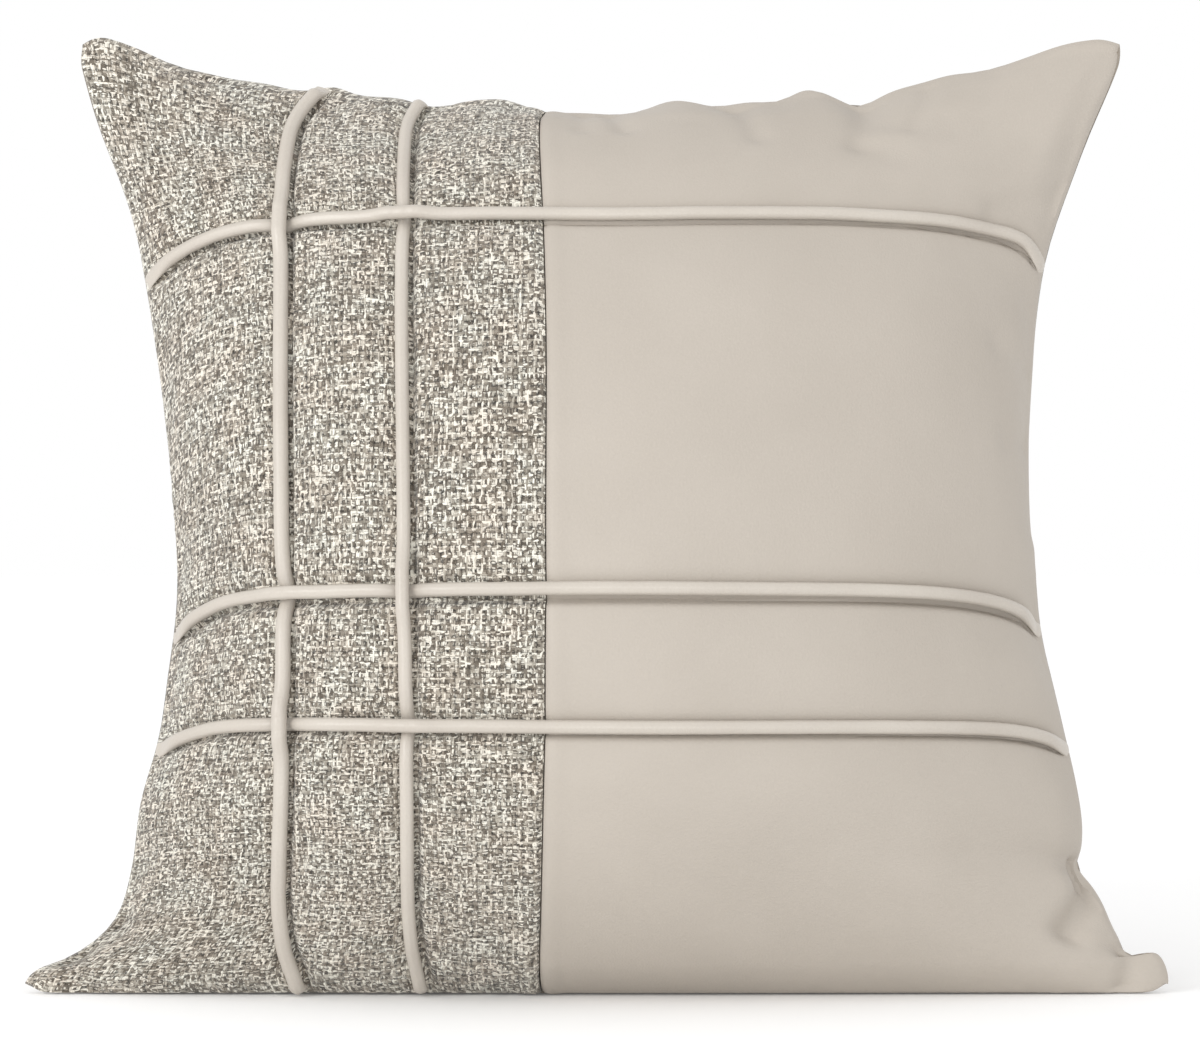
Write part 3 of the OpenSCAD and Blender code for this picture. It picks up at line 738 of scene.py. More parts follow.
def tube(path, normals, rn, rb, sides, first=0, closed=False, inside=False, caps=True):
    """Rings round a path: rn and rb are the radii along the normal and across it. Gives the
    points, the faces and the places on the tube's skin, laid flat."""
    n, b = frames(path, normals, closed)
    angle = round_steps(sides)
    rings = len(path)
    rn, rb = np.broadcast_to(rn, (rings, sides)), np.broadcast_to(rb, (rings, sides))
    points = (path[:, None] + (rn * np.cos(angle))[..., None] * n[:, None]
              + (rb * np.sin(angle))[..., None] * b[:, None])
    faces = []
    for k in range(rings if closed else rings - 1):
        a = first + k * sides
        c = first + (k + 1) % rings * sides
        for i in range(sides):
            j = (i + 1) % sides
            quad = [a + i, a + j, c + j, c + i]
            faces.append(quad[::-1] if inside else quad)
    if caps and not closed:
        faces.append(list(range(first, first + sides))[::-1])
        faces.append(list(range(first + (rings - 1) * sides, first + rings * sides)))
    far = np.concatenate([[0], np.cumsum(np.linalg.norm(np.diff(path, axis=0), axis=1))])
    round_it = (angle + np.pi) % (2 * np.pi) * np.mean(rn)
    uv = np.stack(np.broadcast_arrays(far[:, None], round_it[None, :]), -1)
    return points.reshape(-1, 3), faces, uv.reshape(-1, 2)


def upright_normals(path):
    """Straight back, at each point of a path"""
    return np.tile([0.0, 1.0, 0.0], (len(path), 1))


def joined(parts):
    """Several tubes as one mesh"""
    points, faces, uvs, first = [], [], [], 0
    for p, f, uv in parts:
        points.append(p)
        uvs.append(uv)
        faces += [[first + i for i in face] for face in f]
        first += len(p)
    return np.concatenate(points), faces, np.concatenate(uvs)


# ---------------------------------------------------------------- materials
# Patterns are laid out in mm: a noise of Scale 0.28 has lumps of 1 / 0.28 = 3.6 mm, and bands of
# Scale BANDS / 0.5 are 0.5 mm apart
BANDS = 0.31


def srgb(code):
    """A hex colour as linear light"""
    parts = [int(code[i:i + 2], 16) / 255 for i in (1, 3, 5)]
    return (*[c / 12.92 if c <= 0.04045 else ((c + 0.055) / 1.055) ** 2.4 for c in parts], 1.0)


def add(tree, kind, stops=(), **given):
    """Adds a node. A name is one of its properties, or an input's name or number (in0, in1...)
    with its value or the socket that feeds it. A ramp has two or more stops with their colours."""
    made = tree.nodes.new("ShaderNode" + kind)
    for k, (at, colour) in enumerate(stops):
        spots = made.color_ramp.elements
        spot = spots[k] if k < 2 else spots.new(at)
        spot.position, spot.color = at, colour
    for name, value in given.items():
        if name[:2] == "in" and name[2:].isdigit():
            socket = made.inputs[int(name[2:])]
        elif name in made.bl_rna.properties:
            setattr(made, name, value)
            continue
        else:
            socket = made.inputs[name.replace("_", " ")]
        if isinstance(value, bpy.types.Node):
            value = value.outputs[0]
        if isinstance(value, bpy.types.NodeSocket):
            tree.links.new(value, socket)
        else:
            socket.default_value = value
    return made


def surface(name, colour, **shader):
    """A new material: itself, its tree and its shader"""
    made = bpy.data.materials.new(name)
    made.use_nodes = True
    tree = made.node_tree
    tree.nodes.clear()
    body = add(tree, "BsdfPrincipled", **shader)
    body.inputs["Base Color"].default_value = srgb(colour)
    made.diffuse_color = srgb(colour)
    add(tree, "OutputMaterial", Surface=body)
    return made, tree, body


def feed(tree, socket, source):
    """Links a node or its socket to a socket that already has a value"""
    tree.links.new(source.outputs[0] if isinstance(source, bpy.types.Node) else source, socket)


def dress(tree, body, colour, relief, strength, depth):
    """Gives a shader its colour and its relief, whose full depth is in mm"""
    bump = add(tree, "Bump", Strength=strength, Distance=depth * MM, Height=relief)
    feed(tree, body.inputs["Base Color"], colour)
    feed(tree, body.inputs["Normal"], bump)


def grey(value):
    return (value, value, value, 1.0)


def cloth_mm(tree):
    """Place on the flat cloth, in mm"""
    cloth = add(tree, "UVMap", uv_map="cloth")
    return add(tree, "VectorMath", operation="SCALE", Vector=cloth, Scale=1 / MM)


def woven_tweed():
    """Boucle tweed, hand woven: short looped ends of cream yarn lie up and across over greige and
    taupe ones, about 1.3 mm thick and 3 mm long, with painted shade darkening the pits between them.
    Dry and matt, with a little fuzz that catches the light at the edges."""
    made, tree, body = surface(
        "boucle_tweed", "#9a9184", Roughness=0.95, Specular_IOR_Level=0.15, Sheen_Weight=0.25,
        Sheen_Roughness=0.6)
    place = cloth_mm(tree)
    wander = add(tree, "TexNoise", Vector=place, Scale=0.28, Detail=1.5)
    push = add(tree, "VectorMath", operation="MULTIPLY_ADD", in0=wander.outputs["Color"],
               in1=(1.2, 1.2, 0), in2=place)
    rows = add(tree, "SeparateXYZ", Vector=push)
    scores = []
    for axis, pitch in ((0, (0.85, 2.1)), (1, (2.1, 0.85))):
        spread = add(tree, "VectorMath", operation="DIVIDE", in0=push, in1=(*pitch, 1))
        bit = add(tree, "TexVoronoi", voronoi_dimensions="2D", feature="F1", Vector=spread,
                  Scale=1.0, Randomness=0.5)
        chance = add(tree, "SeparateColor", Color=bit.outputs["Color"])
        round_top = add(tree, "Math", operation="MULTIPLY_ADD", in0=bit.outputs["Distance"],
                        in1=-0.95, in2=0.75)
        raised = add(tree, "Math", operation="MULTIPLY_ADD", in0=chance.outputs[0], in1=0.42,
                     in2=round_top)
        turn = add(tree, "Math", operation="MULTIPLY", in0=rows.outputs[axis],
                   in1=2 * math.pi / LOOM)
        beat = add(tree, "Math", operation="COSINE", in0=turn)
        score = add(tree, "Math", operation="MULTIPLY_ADD", in0=beat, in1=0.18, in2=raised)
        scores.append((score, chance))
    (up, up_chance), (over, over_chance) = scores
    over_up = add(tree, "Math", operation="GREATER_THAN", in0=over, in1=up)
    height = add(tree, "Math", operation="MAXIMUM", in0=up, in1=over)
    dye = add(tree, "Mix", data_type="FLOAT", in0=over_up, in2=up_chance.outputs[1],
              in3=over_chance.outputs[1])
    fleck = add(tree, "TexNoise", Vector=place, Scale=1.9, Detail=2.0)
    dye = add(tree, "Math", operation="MULTIPLY_ADD", in0=fleck, in1=0.35, in2=dye)
    yarn = add(tree, "ValToRGB", Fac=dye, stops=[
        (0.12, srgb("#544c43")), (0.36, srgb("#7b7368")), (0.58, srgb("#9c958a")),
        (0.80, srgb("#c3bdb2")), (1.0, srgb("#f2eee4"))])
    patch = add(tree, "TexNoise", Vector=place, Scale=0.055, Detail=2.0)
    tint = add(tree, "ValToRGB", Fac=patch, stops=[
        (0.36, srgb("#f6f1ec")), (0.64, srgb("#f9faf8"))])
    tinted = add(tree, "Mix", data_type="RGBA", blend_type="MULTIPLY", in0=1.0, in6=yarn, in7=tint)
    # painted shade: the pits between the yarns, where the relief is low, are darkened in the colour
    painted_pit_shade = add(tree, "ValToRGB", Fac=height, stops=[
        (0.38, grey(0.18)), (0.62, grey(0.78)), (0.90, grey(1.0))])
    shade = add(tree, "Mix", data_type="RGBA", blend_type="MULTIPLY", in0=1.0,
                in6=tinted.outputs[2], in7=painted_pit_shade)
    fuzz = add(tree, "TexNoise", Vector=place, Scale=3.2, Detail=3.0)
    loops = add(tree, "Math", operation="MULTIPLY_ADD", in0=fuzz, in1=0.25, in2=height)
    dress(tree, body, shade.outputs[2], loops, 0.75, 0.7)
    return made


def leather(name, colour, grain, rough, dark, light, gloss=0.35):
    """Polyurethane faux leather, embossed and matt: pebbles of grain about a millimetre across,
    drawn a little coarse to show, a soft broad shine and a faint cloudiness in the colour."""
    made, tree, body = surface(name, colour, Specular_IOR_Level=gloss, IOR=1.5)
    place = cloth_mm(tree)
    cloud = add(tree, "TexNoise", Vector=place, Scale=0.018, Detail=3.0)
    fine = add(tree, "TexNoise", Vector=place, Scale=0.9, Detail=4.0)
    tone = add(tree, "Math", operation="MULTIPLY_ADD", in0=fine, in1=0.35, in2=cloud)
    shade = add(tree, "ValToRGB", Fac=tone, stops=[
        (0.45, srgb(dark)), (0.90, srgb(light))])
    pebble = add(tree, "TexVoronoi", voronoi_dimensions="2D", feature="SMOOTH_F1", Vector=place,
                 Scale=1 / grain, Smoothness=0.5)
    wear = add(tree, "MapRange", Value=tone, in1=0.4, in2=0.85, in3=rough + 0.05, in4=rough - 0.04)
    feed(tree, body.inputs["Roughness"], wear)
    crease = add(tree, "TexNoise", Vector=place, Scale=0.16, Detail=5.0, Roughness=0.6)
    level = add(tree, "Math", operation="MULTIPLY_ADD", in0=crease, in1=1.6,
                in2=pebble.outputs["Distance"])
    dress(tree, body, shade, level, 0.5, 0.14)
    return made


def microsuede():
    """Polyester microsuede, knitted and brushed: a flat dull nap that lightens where it has been
    stroked the other way."""
    made, tree, body = surface("microsuede_backing", "#8d857b", Roughness=0.92,
                               Specular_IOR_Level=0.12, Sheen_Weight=0.45, Sheen_Roughness=0.45)
    place = cloth_mm(tree)
    stroke = add(tree, "TexNoise", Vector=place, Scale=0.05, Detail=4.0)
    nap = add(tree, "TexNoise", Vector=place, Scale=2.2, Detail=3.0)
    tone = add(tree, "Math", operation="MULTIPLY_ADD", in0=nap, in1=0.3, in2=stroke)
    shade = add(tree, "ValToRGB", Fac=tone, stops=[
        (0.40, srgb("#8b8379")), (0.95, srgb("#948b81"))])
    dress(tree, body, shade, nap, 0.4, 0.12)
    return made


def twisted(name, dark, light, pitch, slope, rough=0.75, sheen=0.15):
    """Spun yarn, twisted: strands wind round the thread, with a painted highlight on their crests and
    painted shade in the grooves between them.
    """
    made, tree, body = surface(name, light, Roughness=rough, Specular_IOR_Level=0.25,
                               Sheen_Weight=sheen)
    place = cloth_mm(tree)
    turned = add(tree, "Mapping", Vector=place, Rotation=(0, 0, slope))
    strand = add(tree, "TexWave", wave_type="BANDS", bands_direction="X", Vector=turned,
                 Scale=BANDS / pitch, Distortion=0.6)
    # painted highlight and shade: the colour follows the strands' relief, lighter on the crests,
    # darker in the grooves
    shade = add(tree, "ValToRGB", Fac=strand, stops=[
        (0.1, srgb(dark)), (0.8, srgb(light))])
    dress(tree, body, shade, strand, 0.6, 0.1)
    return made


def plain_weave(name, dark, light, pitch, rough, sheen, gloss):
    """Filament cloth, woven plain: a fine even grid of crossings, with painted shade darkening the
    gaps between them and slubs that vary the tone.
    """
    made, tree, body = surface(name, light, Roughness=rough, Specular_IOR_Level=gloss,
                               Sheen_Weight=sheen)
    place = cloth_mm(tree)
    waves = []
    for direction in ("X", "Y"):
        waves.append(add(tree, "TexWave", wave_type="BANDS", bands_direction=direction,
                         Vector=place, Scale=BANDS / pitch, Distortion=0.3))
    level = add(tree, "Math", operation="MULTIPLY", in0=waves[0], in1=waves[1])
    slub = add(tree, "TexNoise", Vector=place, Scale=0.35, Detail=3.0)
    # painted shade: the colour follows the crossings' relief, darker in the gaps between them; the
    # slubs' tone is the yarn's own
    tone = add(tree, "Math", operation="MULTIPLY_ADD", in0=slub, in1=0.6, in2=level)
    shade = add(tree, "ValToRGB", Fac=tone, stops=[
        (0.15, srgb(dark)), (1.1, srgb(light))])
    dress(tree, body, shade, level, 0.5, 0.1)
    return made


def solid_mm(tree):
    """Place in the object, in mm"""
    place = add(tree, "TexCoord").outputs["Object"]
    return add(tree, "VectorMath", operation="SCALE", Vector=place, Scale=1 / MM)


def nylon():
    """Nylon 6 monofilament, drawn and coiled: waxy and half clear, with a soft highlight."""
    made, tree, body = surface("nylon_monofilament", "#8f877c", IOR=1.53, Roughness=0.34,
                               Subsurface_Weight=0.1, Subsurface_Scale=0.6 * MM)
    streak = add(tree, "TexNoise", Vector=solid_mm(tree), Scale=1.1, Detail=2.0)
    shade = add(tree, "ValToRGB", Fac=streak, stops=[
        (0.3, srgb("#857d72")), (0.7, srgb("#9a9287"))])
    feed(tree, body.inputs["Base Color"], shade)
    return made


def cast_zinc():
    """Zinc alloy, die cast, barrelled and nickel plated: a satin grey metal with fine tumbling
    marks."""
    made, tree, body = surface("plated_zinc", "#b4b0a8", Metallic=1.0)
    mark = add(tree, "TexNoise", Vector=solid_mm(tree), Scale=2.4, Detail=4.0, Roughness=0.65)
    polish = add(tree, "MapRange", Value=mark, in1=0.3, in2=0.7, in3=0.24, in4=0.42)
    feed(tree, body.inputs["Roughness"], polish)
    shade = add(tree, "ValToRGB", Fac=mark, stops=[
        (0.3, srgb("#a8a49c")), (0.7, srgb("#c4c0b8"))])
    dress(tree, body, shade, mark, 0.25, 0.05)
    return made


def carded_fibre():
    """Hollow polyester fibre, carded and blown: white, springy, tangled in soft clumps, with painted
    shade greying the hollows between them.
    """
    made, tree, body = surface("carded_polyester", "#efeee9", Roughness=1.0,
                               Specular_IOR_Level=0.1, Sheen_Weight=0.4)
    place = solid_mm(tree)
    clump = add(tree, "TexNoise", Vector=place, Scale=0.07, Detail=6.0, Distortion=1.4)
    # painted shade: the colour follows the clumps' relief, greyer in the hollows
    shade = add(tree, "ValToRGB", Fac=clump, stops=[
        (0.3, srgb("#dcdad3")), (0.7, srgb("#f6f5f1"))])
    dress(tree, body, shade, clump, 0.8, 2.5)
    return made


TWEED = woven_tweed()
COVER_LEATHER = leather("embossed_faux_leather", "#aea59b", 1.1, 0.56, "#aea69c", "#b3aba1", 0.3)
CORD_LEATHER = leather("stretched_faux_leather", "#bcb4aa", 0.7, 0.35, "#b7afa5", "#c2bbb1", 0.5)
PULL_LEATHER = leather("skived_leather", "#a2907c", 0.8, 0.5, "#98866f", "#ad9b86", 0.4)
SUEDE = microsuede()
COTTON = twisted("braided_cotton", "#c9c2b2", "#ece7da", 1.4, 0.7)
THREAD = twisted("spun_polyester_thread", "#857a6c", "#a89d8f", 0.5, 0.8)
WHITE_THREAD = twisted("white_polyester_thread", "#cfcdc6", "#f1f0ec", 0.5, 0.8)
TAPE = plain_weave("polyester_zip_tape", "#7a7268", "#948b80", 0.8, 0.8, 0.15, 0.25)
INSERT = plain_weave("polycotton_insert_cloth", "#dedcd5", "#f3f2ee", 0.6, 0.88, 0.2, 0.15)
SATIN = plain_weave("polyester_satin", "#dfded9", "#fbfaf7", 0.5, 0.38, 0.0, 0.5)
FIBRE = carded_fibre()
NYLON = nylon()
ZINC = cast_zinc()

# ---------------------------------------------------------------- cover panels
U_JOIN = 2 * JOIN_AT / SIDE - 1
JOIN_GAP = 0.0012         # from the join's line to each cloth, as a share of half the cover


def join_line(v):
    """The join runs a little to the left near the top and the bottom"""
    return U_JOIN - 0.019 * smooth((v - 0.62) / 0.38) - 0.013 * smooth((0.42 - v) / 0.42)


def join_side(u, v, lip, dip):
    """A cloth turns under at the join: it swells a little, then drops into the seam"""
    s = np.abs(u - join_line(v)) * SIDE / 2
    t = 1 - np.clip(s / SEAM_ROLL, 0, 1)
    return lip * bell(s - 4.5, 3.5) - dip * (1 - np.sqrt(1 - t * t))


def tweed_relief(u, v):
    """The weave's own relief at its crossings, uneven as the yarn is"""
    x, y = on_cloth(u, v)
    x, y = x + 0.9 * lumps(x, y, 9, 21), y + 0.9 * lumps(x, y, 9, 22)
    pitch = np.pi / LOOM
    weave = 0.22 * np.cos(pitch * x) * np.cos(pitch * y)
    yarn = 0.30 * lumps(x, y, 2.1, 23) + 0.16 * lumps(x, y, 5.5, 24)
    return (weave + yarn) * smooth(from_edge(u, v) / 3) + join_side(u, v, 0.7, 1.7)


def leather_relief(u, v):
    return join_side(u, v, 0.5, 1.9)


def straight(at):
    """An edge of the cover that is cut straight"""
    return lambda along: 0 * along + at


LEFT, RIGHT, BOTTOM, TOP = straight(-1), straight(1), straight(0), straight(1)


def join_edge(side):
    return lambda v: join_line(v) + side * JOIN_GAP


def zip_edge(side):
    """Where a back panel ends beside the zip; beyond the zip's ends the two panels meet"""
    def edge(u):
        line = ZIP_S / SIDE + 0 * u
        x = (back_shape(u, line) + seam_wander(u, line))[..., 0]
        gap = mix(0.3, PANEL_EDGE, smooth((155 - np.abs(x)) / 4))
        return (ZIP_S + side * gap) / SIDE
    return edge


def zip_fold(u, v):
    """The turned edge beside the zip is a double cloth, held down by two rows of stitches"""
    s = np.abs(v * SIDE - ZIP_S) - PANEL_EDGE
    t = 1 - np.clip(s / 1.2, 0, 1)
    near = smooth((0.88 - np.abs(u)) / 0.03)
    rows = bell(s - 1.5, 0.8) + bell(s - 5, 0.8)
    fold = 0.5 * smooth((8.5 - s) / 3) - 0.45 * rows - 1.0 * (1 - np.sqrt(1 - t * t))
    return near * np.where(s > 12, 0, fold)


tweed = cover_panel("tweed_panel", front_cloth, (LEFT, join_edge(-1)), (BOTTOM, TOP), (204, 448),
                    TWEED_T, tweed_relief, False, TWEED, "woven_tweed", "front_tweed_panel")
smooth_panel = cover_panel("leather_panel", front_cloth, (join_edge(1), RIGHT), (BOTTOM, TOP),
                           (164, 448), LEATHER_T, leather_relief, False, COVER_LEATHER,
                           "faux_leather", "front_leather_panel")
upper_back = cover_panel("back_upper_cloth", back_cloth, (LEFT, RIGHT), (zip_edge(1), TOP),
                         (232, 148), BACK_T, zip_fold, True, SUEDE, "back_suede",
                         "back_upper_panel")
lower_back = cover_panel("back_lower_cloth", back_cloth, (LEFT, RIGHT), (BOTTOM, zip_edge(-1)),
                         (232, 72), BACK_T, zip_fold, True, SUEDE, "back_suede",
                         "back_lower_panel")

# ---------------------------------------------------------------- cords
# Each cord: its CAD nodes, whether it is upright, its place on the cut, the cords that it passes
# over and under, and its radius where the wrap is pulled tight
CORDS = {
    "left_upright": ("upright_cord_left", True, UPRIGHT_LEFT,
                     (CROSS_HIGH, CROSS_LOW), (CROSS_MID,), 3.0),
    "right_upright": ("upright_cord_right", True, UPRIGHT_RIGHT,
                      (CROSS_MID,), (CROSS_HIGH, CROSS_LOW), 2.65),
    "high_cross": ("cross_cord_high", False, CROSS_HIGH, (UPRIGHT_RIGHT,), (UPRIGHT_LEFT,), 2.65),
    "mid_cross": ("cross_cord_mid", False, CROSS_MID, (UPRIGHT_LEFT,), (UPRIGHT_RIGHT,), 2.65),
    "low_cross": ("cross_cord_low", False, CROSS_LOW, (UPRIGHT_RIGHT,), (UPRIGHT_LEFT,), 2.65)}
CORD_STEPS = 430
RISE_OVER, DIP_UNDER = 3.8, 2.7  # how far a cord moves out or in where it crosses another
WRAP_SIDES, CORE_SIDES = 32, 16
WRAP_SHARE = 0.72         # the wrap's inner radius, as a share of its outer one
CORE_SHARE = 0.86         # the core's radius, as a share of the wrap's inner one
END_SHARE = 0.22          # how flat a cord is pressed where the seam takes it in


def cord_line(upright, at, over, under, radius):
    """The cord's middle line, its outward directions and how far it is from being pressed in the
    seam: it lies in the front's groove, rises over some cords and dips under the others"""
    t = np.linspace(0, 1, CORD_STEPS)
    run = t * SIDE
    if upright:
        v = mix(0.002, 0.998, t)
        u = 2 * upright_at(at, v) / SIDE - 1
        meets = {c: float(cross_at(c, 2 * at / SIDE - 1)) for c in CROSSINGS}
    else:
        u = 2 * mix(0.002, 0.998, t) - 1
        v = cross_at(at, u) / SIDE
        meets = {c: float(upright_at(c, at / SIDE)) for c in UPRIGHTS}
    lift = radius - 0.5
    for c in over:
        lift = lift + RISE_OVER * bell(run - meets[c], 11)
    for c in under:
        lift = lift - DIP_UNDER * bell(run - meets[c], 11)
    free = smooth(np.minimum(run, SIDE - run) / (7.0 if upright else 20.0))
    lift = mix(-0.4, lift, free)
    normal = outward(front_shape, u, v, 1)
    path = front_cloth(u, v, crevice(u, v)) + normal * np.expand_dims(lift, -1)
    path[:, 2] = np.maximum(path[:, 2], radius + 0.1)
    return path, normal, free


def cord_wrap(name, node, path, normal, free, radius, seed):
    """The leather wrap: a thin tube, pressed flat below, with slight pleats along it"""
    angle = round_steps(WRAP_SIDES)
    rings = np.arange(len(path))[:, None]
    ripple = 0.05 * lumps(rings * 1.05, angle[None, :] * 2, 6, seed)
    press = (1 - 0.12 * power(-np.cos(angle), 3) + 0.028 * np.cos(7 * angle))[None, :]
    rn = (radius * mix(END_SHARE, 1.0, free))[:, None] * press + ripple
    rb = (radius * mix(1.15, 1.0, free))[:, None] + ripple
    skin = tube(path, normal, rn, rb, WRAP_SIDES, caps=False)
    m = len(skin[0])
    lining = tube(path, normal, rn * WRAP_SHARE, rb * WRAP_SHARE, WRAP_SIDES, first=m, inside=True,
                  caps=False)
    faces = skin[1] + lining[1]
    last = m - WRAP_SIDES
    for i in range(WRAP_SIDES):
        j = (i + 1) % WRAP_SIDES
        faces.append([j, i, m + i, m + j])
        faces.append([last + i, last + j, m + last + j, m + last + i])
    points = np.concatenate([skin[0], lining[0]])
    points[:, 2] = np.maximum(points[:, 2], 0.05)
    piece(name, points, faces, np.concatenate([skin[2], lining[2]]), CORD_LEATHER, "cord_leather",
          node)


def cord_core(name, node, path, normal, free, radius):
    """The cotton core: three strands twisted, which stop short of the seams"""
    path, normal, free = path[4:-4:3], normal[4:-4:3], free[4:-4:3, None]
    turns = np.arange(len(path))[:, None] * 0.33
    strands = 1 + 0.09 * np.cos(3 * round_steps(CORE_SIDES)[None, :] + turns)
    r = radius * WRAP_SHARE * CORE_SHARE
    points, faces, uv = tube(path, normal, r * strands * mix(END_SHARE, 1.0, free), r * strands,
                             CORE_SIDES)
    points[:, 2] = np.maximum(points[:, 2], 0.3)
    piece(name, points, faces, uv, COTTON, "cotton_core", node)


for name, (node, upright, at, over, under, radius) in CORDS.items():
    line = cord_line(upright, at, over, under, radius)
    cord_wrap(name + "_wrap", node + "_wrap", *line, radius, int(at))
    cord_core(name + "_core", node + "_core", *line, radius)

# ---------------------------------------------------------------- seams
THREAD_R = 0.35


def edge_places(count):
    """Even places round the cover's edge, count to a side"""
    f = np.arange(count) / count
    return (np.concatenate([2 * f - 1, 0 * f + 1, 1 - 2 * f, 0 * f - 1]),
            np.concatenate([0 * f, f, 0 * f + 1, 1 - f]))


def ring_piece(name, path, material, slot, node):
    """A seam's thread round the cushion, which goes from side to side as a lockstitch does"""
    path[:, 1] += np.tile([0.25, -0.25], len(path) // 2)
    path[:, 2] = np.maximum(path[:, 2], THREAD_R + 0.1)
    thread = tube(path, upright_normals(path), THREAD_R, THREAD_R, 8, closed=True)
    piece(name, *thread, material, slot, node)


edge_u, edge_v = edge_places(120)
seam_u, seam_v = over_layer(edge_u, edge_v, 1 - 1.1 * 2 / SIDE)
seam_path = (front_cloth(seam_u, seam_v) + back_cloth(seam_u, seam_v)) / 2
ring_piece("perimeter_seam", seam_path, THREAD, "sewing_thread", "perimeter_seam_thread")

join_v = np.linspace(0.03, 0.97, 161)
join_u = join_line(join_v)
join_normal = outward(front_shape, join_u, join_v, 1)
join_path = front_cloth(join_u, join_v) - join_normal * 3.0
join_thread = tube(join_path, join_normal, THREAD_R, THREAD_R, 8)
piece("panel_join_seam", *join_thread, THREAD, "sewing_thread", "panel_join_thread")


# ---------------------------------------------------------------- zip
def stitch(x, z):
    """One stitch beside the zip, which dips into the cloth at both ends"""
    t = np.linspace(-1, 1, 9)
    path = np.stack([x + 1.4 * t, FACE_Y - 0.05 + 0.35 * (1 - t ** 4), z + 0 * t], -1)
    radius = 0.25 * np.sqrt(1.04 - t ** 4)[:, None]
    return tube(path, upright_normals(path), radius, radius, 8)


def zip_tape(side, word):
    """A woven tape, folded over into a bead beside the teeth"""
    s, x = np.meshgrid(np.array([0, 0.02, 0.1, 0.5, 0.9, 0.98, 1]) * TAPE_W,
                       np.linspace(-ZIP_LEN / 2 - 5, ZIP_LEN / 2 + 5, 156))
    z = ZIP_H + side * (TAPE_GAP + s)
    outer = np.stack([x, TAPE_Y + TAPE_T + 0.12 * bell(s - 0.3, 1.0), z], -1)
    inner = np.stack([x, TAPE_Y + 0 * x, z], -1)
    made = shell("zip_tape_" + word + "_cloth", outer, inner, np.stack([x, s], -1), side < 0, TAPE,
                 "zip_tape", "zip_tape_" + word)


def zip_teeth(side, word):
    """A coil of one filament, bent into teeth on their inner side, round a filler cord"""
    turns = int(ZIP_LEN / TOOTH)
    a = np.linspace(0, turns * 2 * np.pi, turns * 14 + 1)
    loop = np.stack([
        (a / (2 * np.pi) - turns / 2) * TOOTH + side * TOOTH / 4,
        COIL_Y + 1.0 + 0.68 * np.sin(a),
        ZIP_H + side * (1.85 - 1.15 * np.cos(a) + 0.12 * np.cos(2 * a))], -1)
    coil = tube(loop, np.tile([0.0, 0.2, 1.0], (len(loop), 1)), 0.31, 0.31, 6)
    x = np.linspace(-ZIP_LEN / 2, ZIP_LEN / 2, 60)
    filler = np.stack([x, 0 * x + COIL_Y + 1.0, 0 * x + ZIP_H + side * 2.2], -1)
    spine = tube(filler, upright_normals(filler), 0.3, 0.62, 8)
    piece("zip_coil_" + word + "_teeth", *joined([coil, spine]), NYLON, "nylon_coil",
          "zip_coil_" + word)


stitches = [stitch((k + 0.5 - STITCHES / 2) * STITCH, ZIP_H + side * row)
            for side in (-1, 1) for row in STITCH_ROWS for k in range(STITCHES)]
piece("zip_topstitches", *joined(stitches), THREAD, "sewing_thread", "zip_topstitch_thread")
for side, word in ((1, "upper"), (-1, "lower")):
    zip_tape(side, word)
    zip_teeth(side, word)

# The hard pieces are the CAD's own solids
HARD = {"zip_end_stops_closed": NYLON, "zip_end_stop_open": NYLON, "zip_slider": ZINC,
        "zip_pull_tab": PULL_LEATHER}
for name, material in HARD.items():
    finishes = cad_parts[name].data.materials
    finishes.clear()
    finishes.append(material)

# ---------------------------------------------------------------- inside the cover
def layer_out(shape, u, v, size, facing):
    """Which way a layer inside the cover faces"""
    return outward(shape, *over_layer(u, v, size), facing)


def clumps(u, v, size, seed):
    """Lumps on a layer inside the cover, in mm"""
    return 1.2 * lumps(*on_cloth(u, v), size, seed)


def insert_cloth(name, shape, facing, node, turned, seed):
    u, v = place_grid(96)
    edge = from_edge(u, v) * 2 / SIDE
    rumple = (clumps(u, v, 24, seed) * smooth(edge * 6) - 1)[..., None]
    push = layer_out(shape, u, v, INSERT_SIZE, facing) * rumple
    apart = np.array([0.0, -facing * 0.5, 0.0])
    outer = shape(u, v, INSERT_IN, INSERT_SIZE, roll=False) + apart + push
    inner = shape(u, v, INSERT_IN + INSERT_T, INSERT_SIZE, roll=False) + apart * 0.2 + push
    inner = inner[::LINING_STEP, ::LINING_STEP]
    for p in (outer, inner):
        p[..., 2] = np.maximum(p[..., 2], 1.5)
    flat = np.stack(on_cloth(u * INSERT_SIZE, v * INSERT_SIZE), -1)
    made = shell(name, outer, inner, flat, turned, INSERT, "insert_cloth", node)


def fibre_stuffing():
    """The filling, as one closed body with a fluffy skin"""
    n = 80
    u, v = place_grid(n)
    edge = from_edge(u, v) * 2 / SIDE
    fluff = ((clumps(u, v, 18, 51) - 1.2) * smooth(edge * 8))[..., None]
    sides = [shape(u, v, FILL_IN, FILL_SIZE, roll=False)
             + fluff * layer_out(shape, u, v, FILL_SIZE, facing)
             for shape, facing in ((front_shape, 1), (back_shape, -1))]
    points = sewn_places(*sides)
    points[:, 2] = np.maximum(points[:, 2], 3.0)
    front, back = sewn_index(n)
    made = piece("fibre_stuffing", points, quads(front, False) + quads(back, True), None, FIBRE,
                 "polyester_fibre", "fibre_fill")


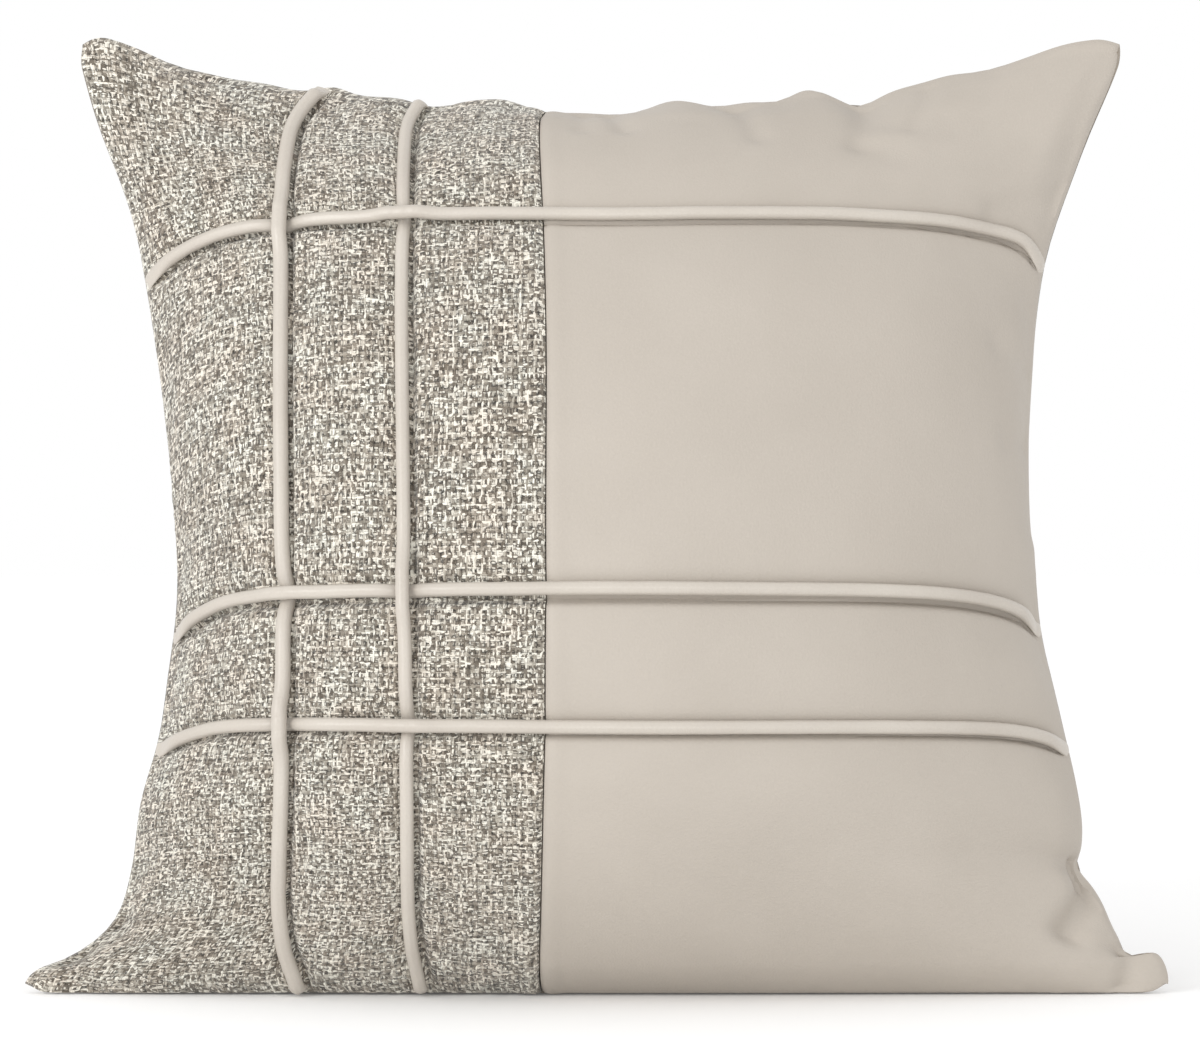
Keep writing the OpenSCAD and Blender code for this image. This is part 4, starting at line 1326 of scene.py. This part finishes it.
def care_label():
    """A blank satin label, hung inside the back and waved a little"""
    low, high = (np.array(corner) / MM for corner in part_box("care_label"))
    s, t = np.meshgrid(np.linspace(0, 1, 13), np.linspace(0, 1, 13))
    x, z = mix(low[0], high[0], s), mix(low[2], high[2], t)
    y = mix(low[1], high[1], 0.35 + 0.3 * np.sin(3 * s + t)) - 2.4
    made = shell("care_label_satin", np.stack([x, y + 0.15, z], -1),
                 np.stack([x, y - 0.15, z], -1), np.stack([x, z], -1), True, SATIN, "label_satin",
                 "care_label")


insert_cloth("insert_front_cloth", front_shape, 1, "insert_front_shell", False, 31)
insert_cloth("insert_back_cloth", back_shape, -1, "insert_back_shell", True, 33)
insert_path = front_shape(edge_u, edge_v, INSERT_IN + INSERT_T, INSERT_SIZE, roll=False)
ring_piece("insert_seam", insert_path, WHITE_THREAD, "white_thread", "insert_seam_thread")
fibre_stuffing()
care_label()

# ---------------------------------------------------------------- floor and light
floor_mesh = bpy.data.meshes.new("floor")
floor_mesh.from_pydata(
    [(-12, -12, 0), (12, -12, 0), (12, 12, 0), (-12, 12, 0)], [], [[0, 1, 2, 3]])
floor = bpy.data.objects.new("floor", floor_mesh)
scene.collection.objects.link(floor)
floor.location.z = -0.3 * MM
paper, _, paper_body = surface("white_paper", "#fbfbfb", Roughness=0.95, Specular_IOR_Level=0.1)
paper_body.inputs["Emission Color"].default_value = (1, 1, 1, 1)
paper_body.inputs["Emission Strength"].default_value = 0.05
floor.data.materials.append(paper)

world = bpy.data.worlds.new("studio")
world.use_nodes = True
studio_air = world.node_tree.nodes["Background"]
studio_air.inputs["Color"].default_value = (1, 1, 1, 1)
studio_air.inputs["Strength"].default_value = 1.0
scene.world = world


def soft_light(name, place, towards, size, watts):
    lamp = bpy.data.lights.new(name, "AREA")
    lamp.shape = "RECTANGLE"
    lamp.size, lamp.size_y = size
    lamp.energy = watts
    made = bpy.data.objects.new(name, lamp)
    scene.collection.objects.link(made)
    made.location = place
    made.rotation_euler = (Vector(towards) - Vector(place)).to_track_quat("-Z", "Y").to_euler()


soft_light("key", (-1.5, -1.7, 0.75), (0, 0, 0.18), (1.0, 1.0), 20)
soft_light("low", (0.1, -1.9, 0.25), (0, 0, 0.12), (1.2, 0.4), 5)
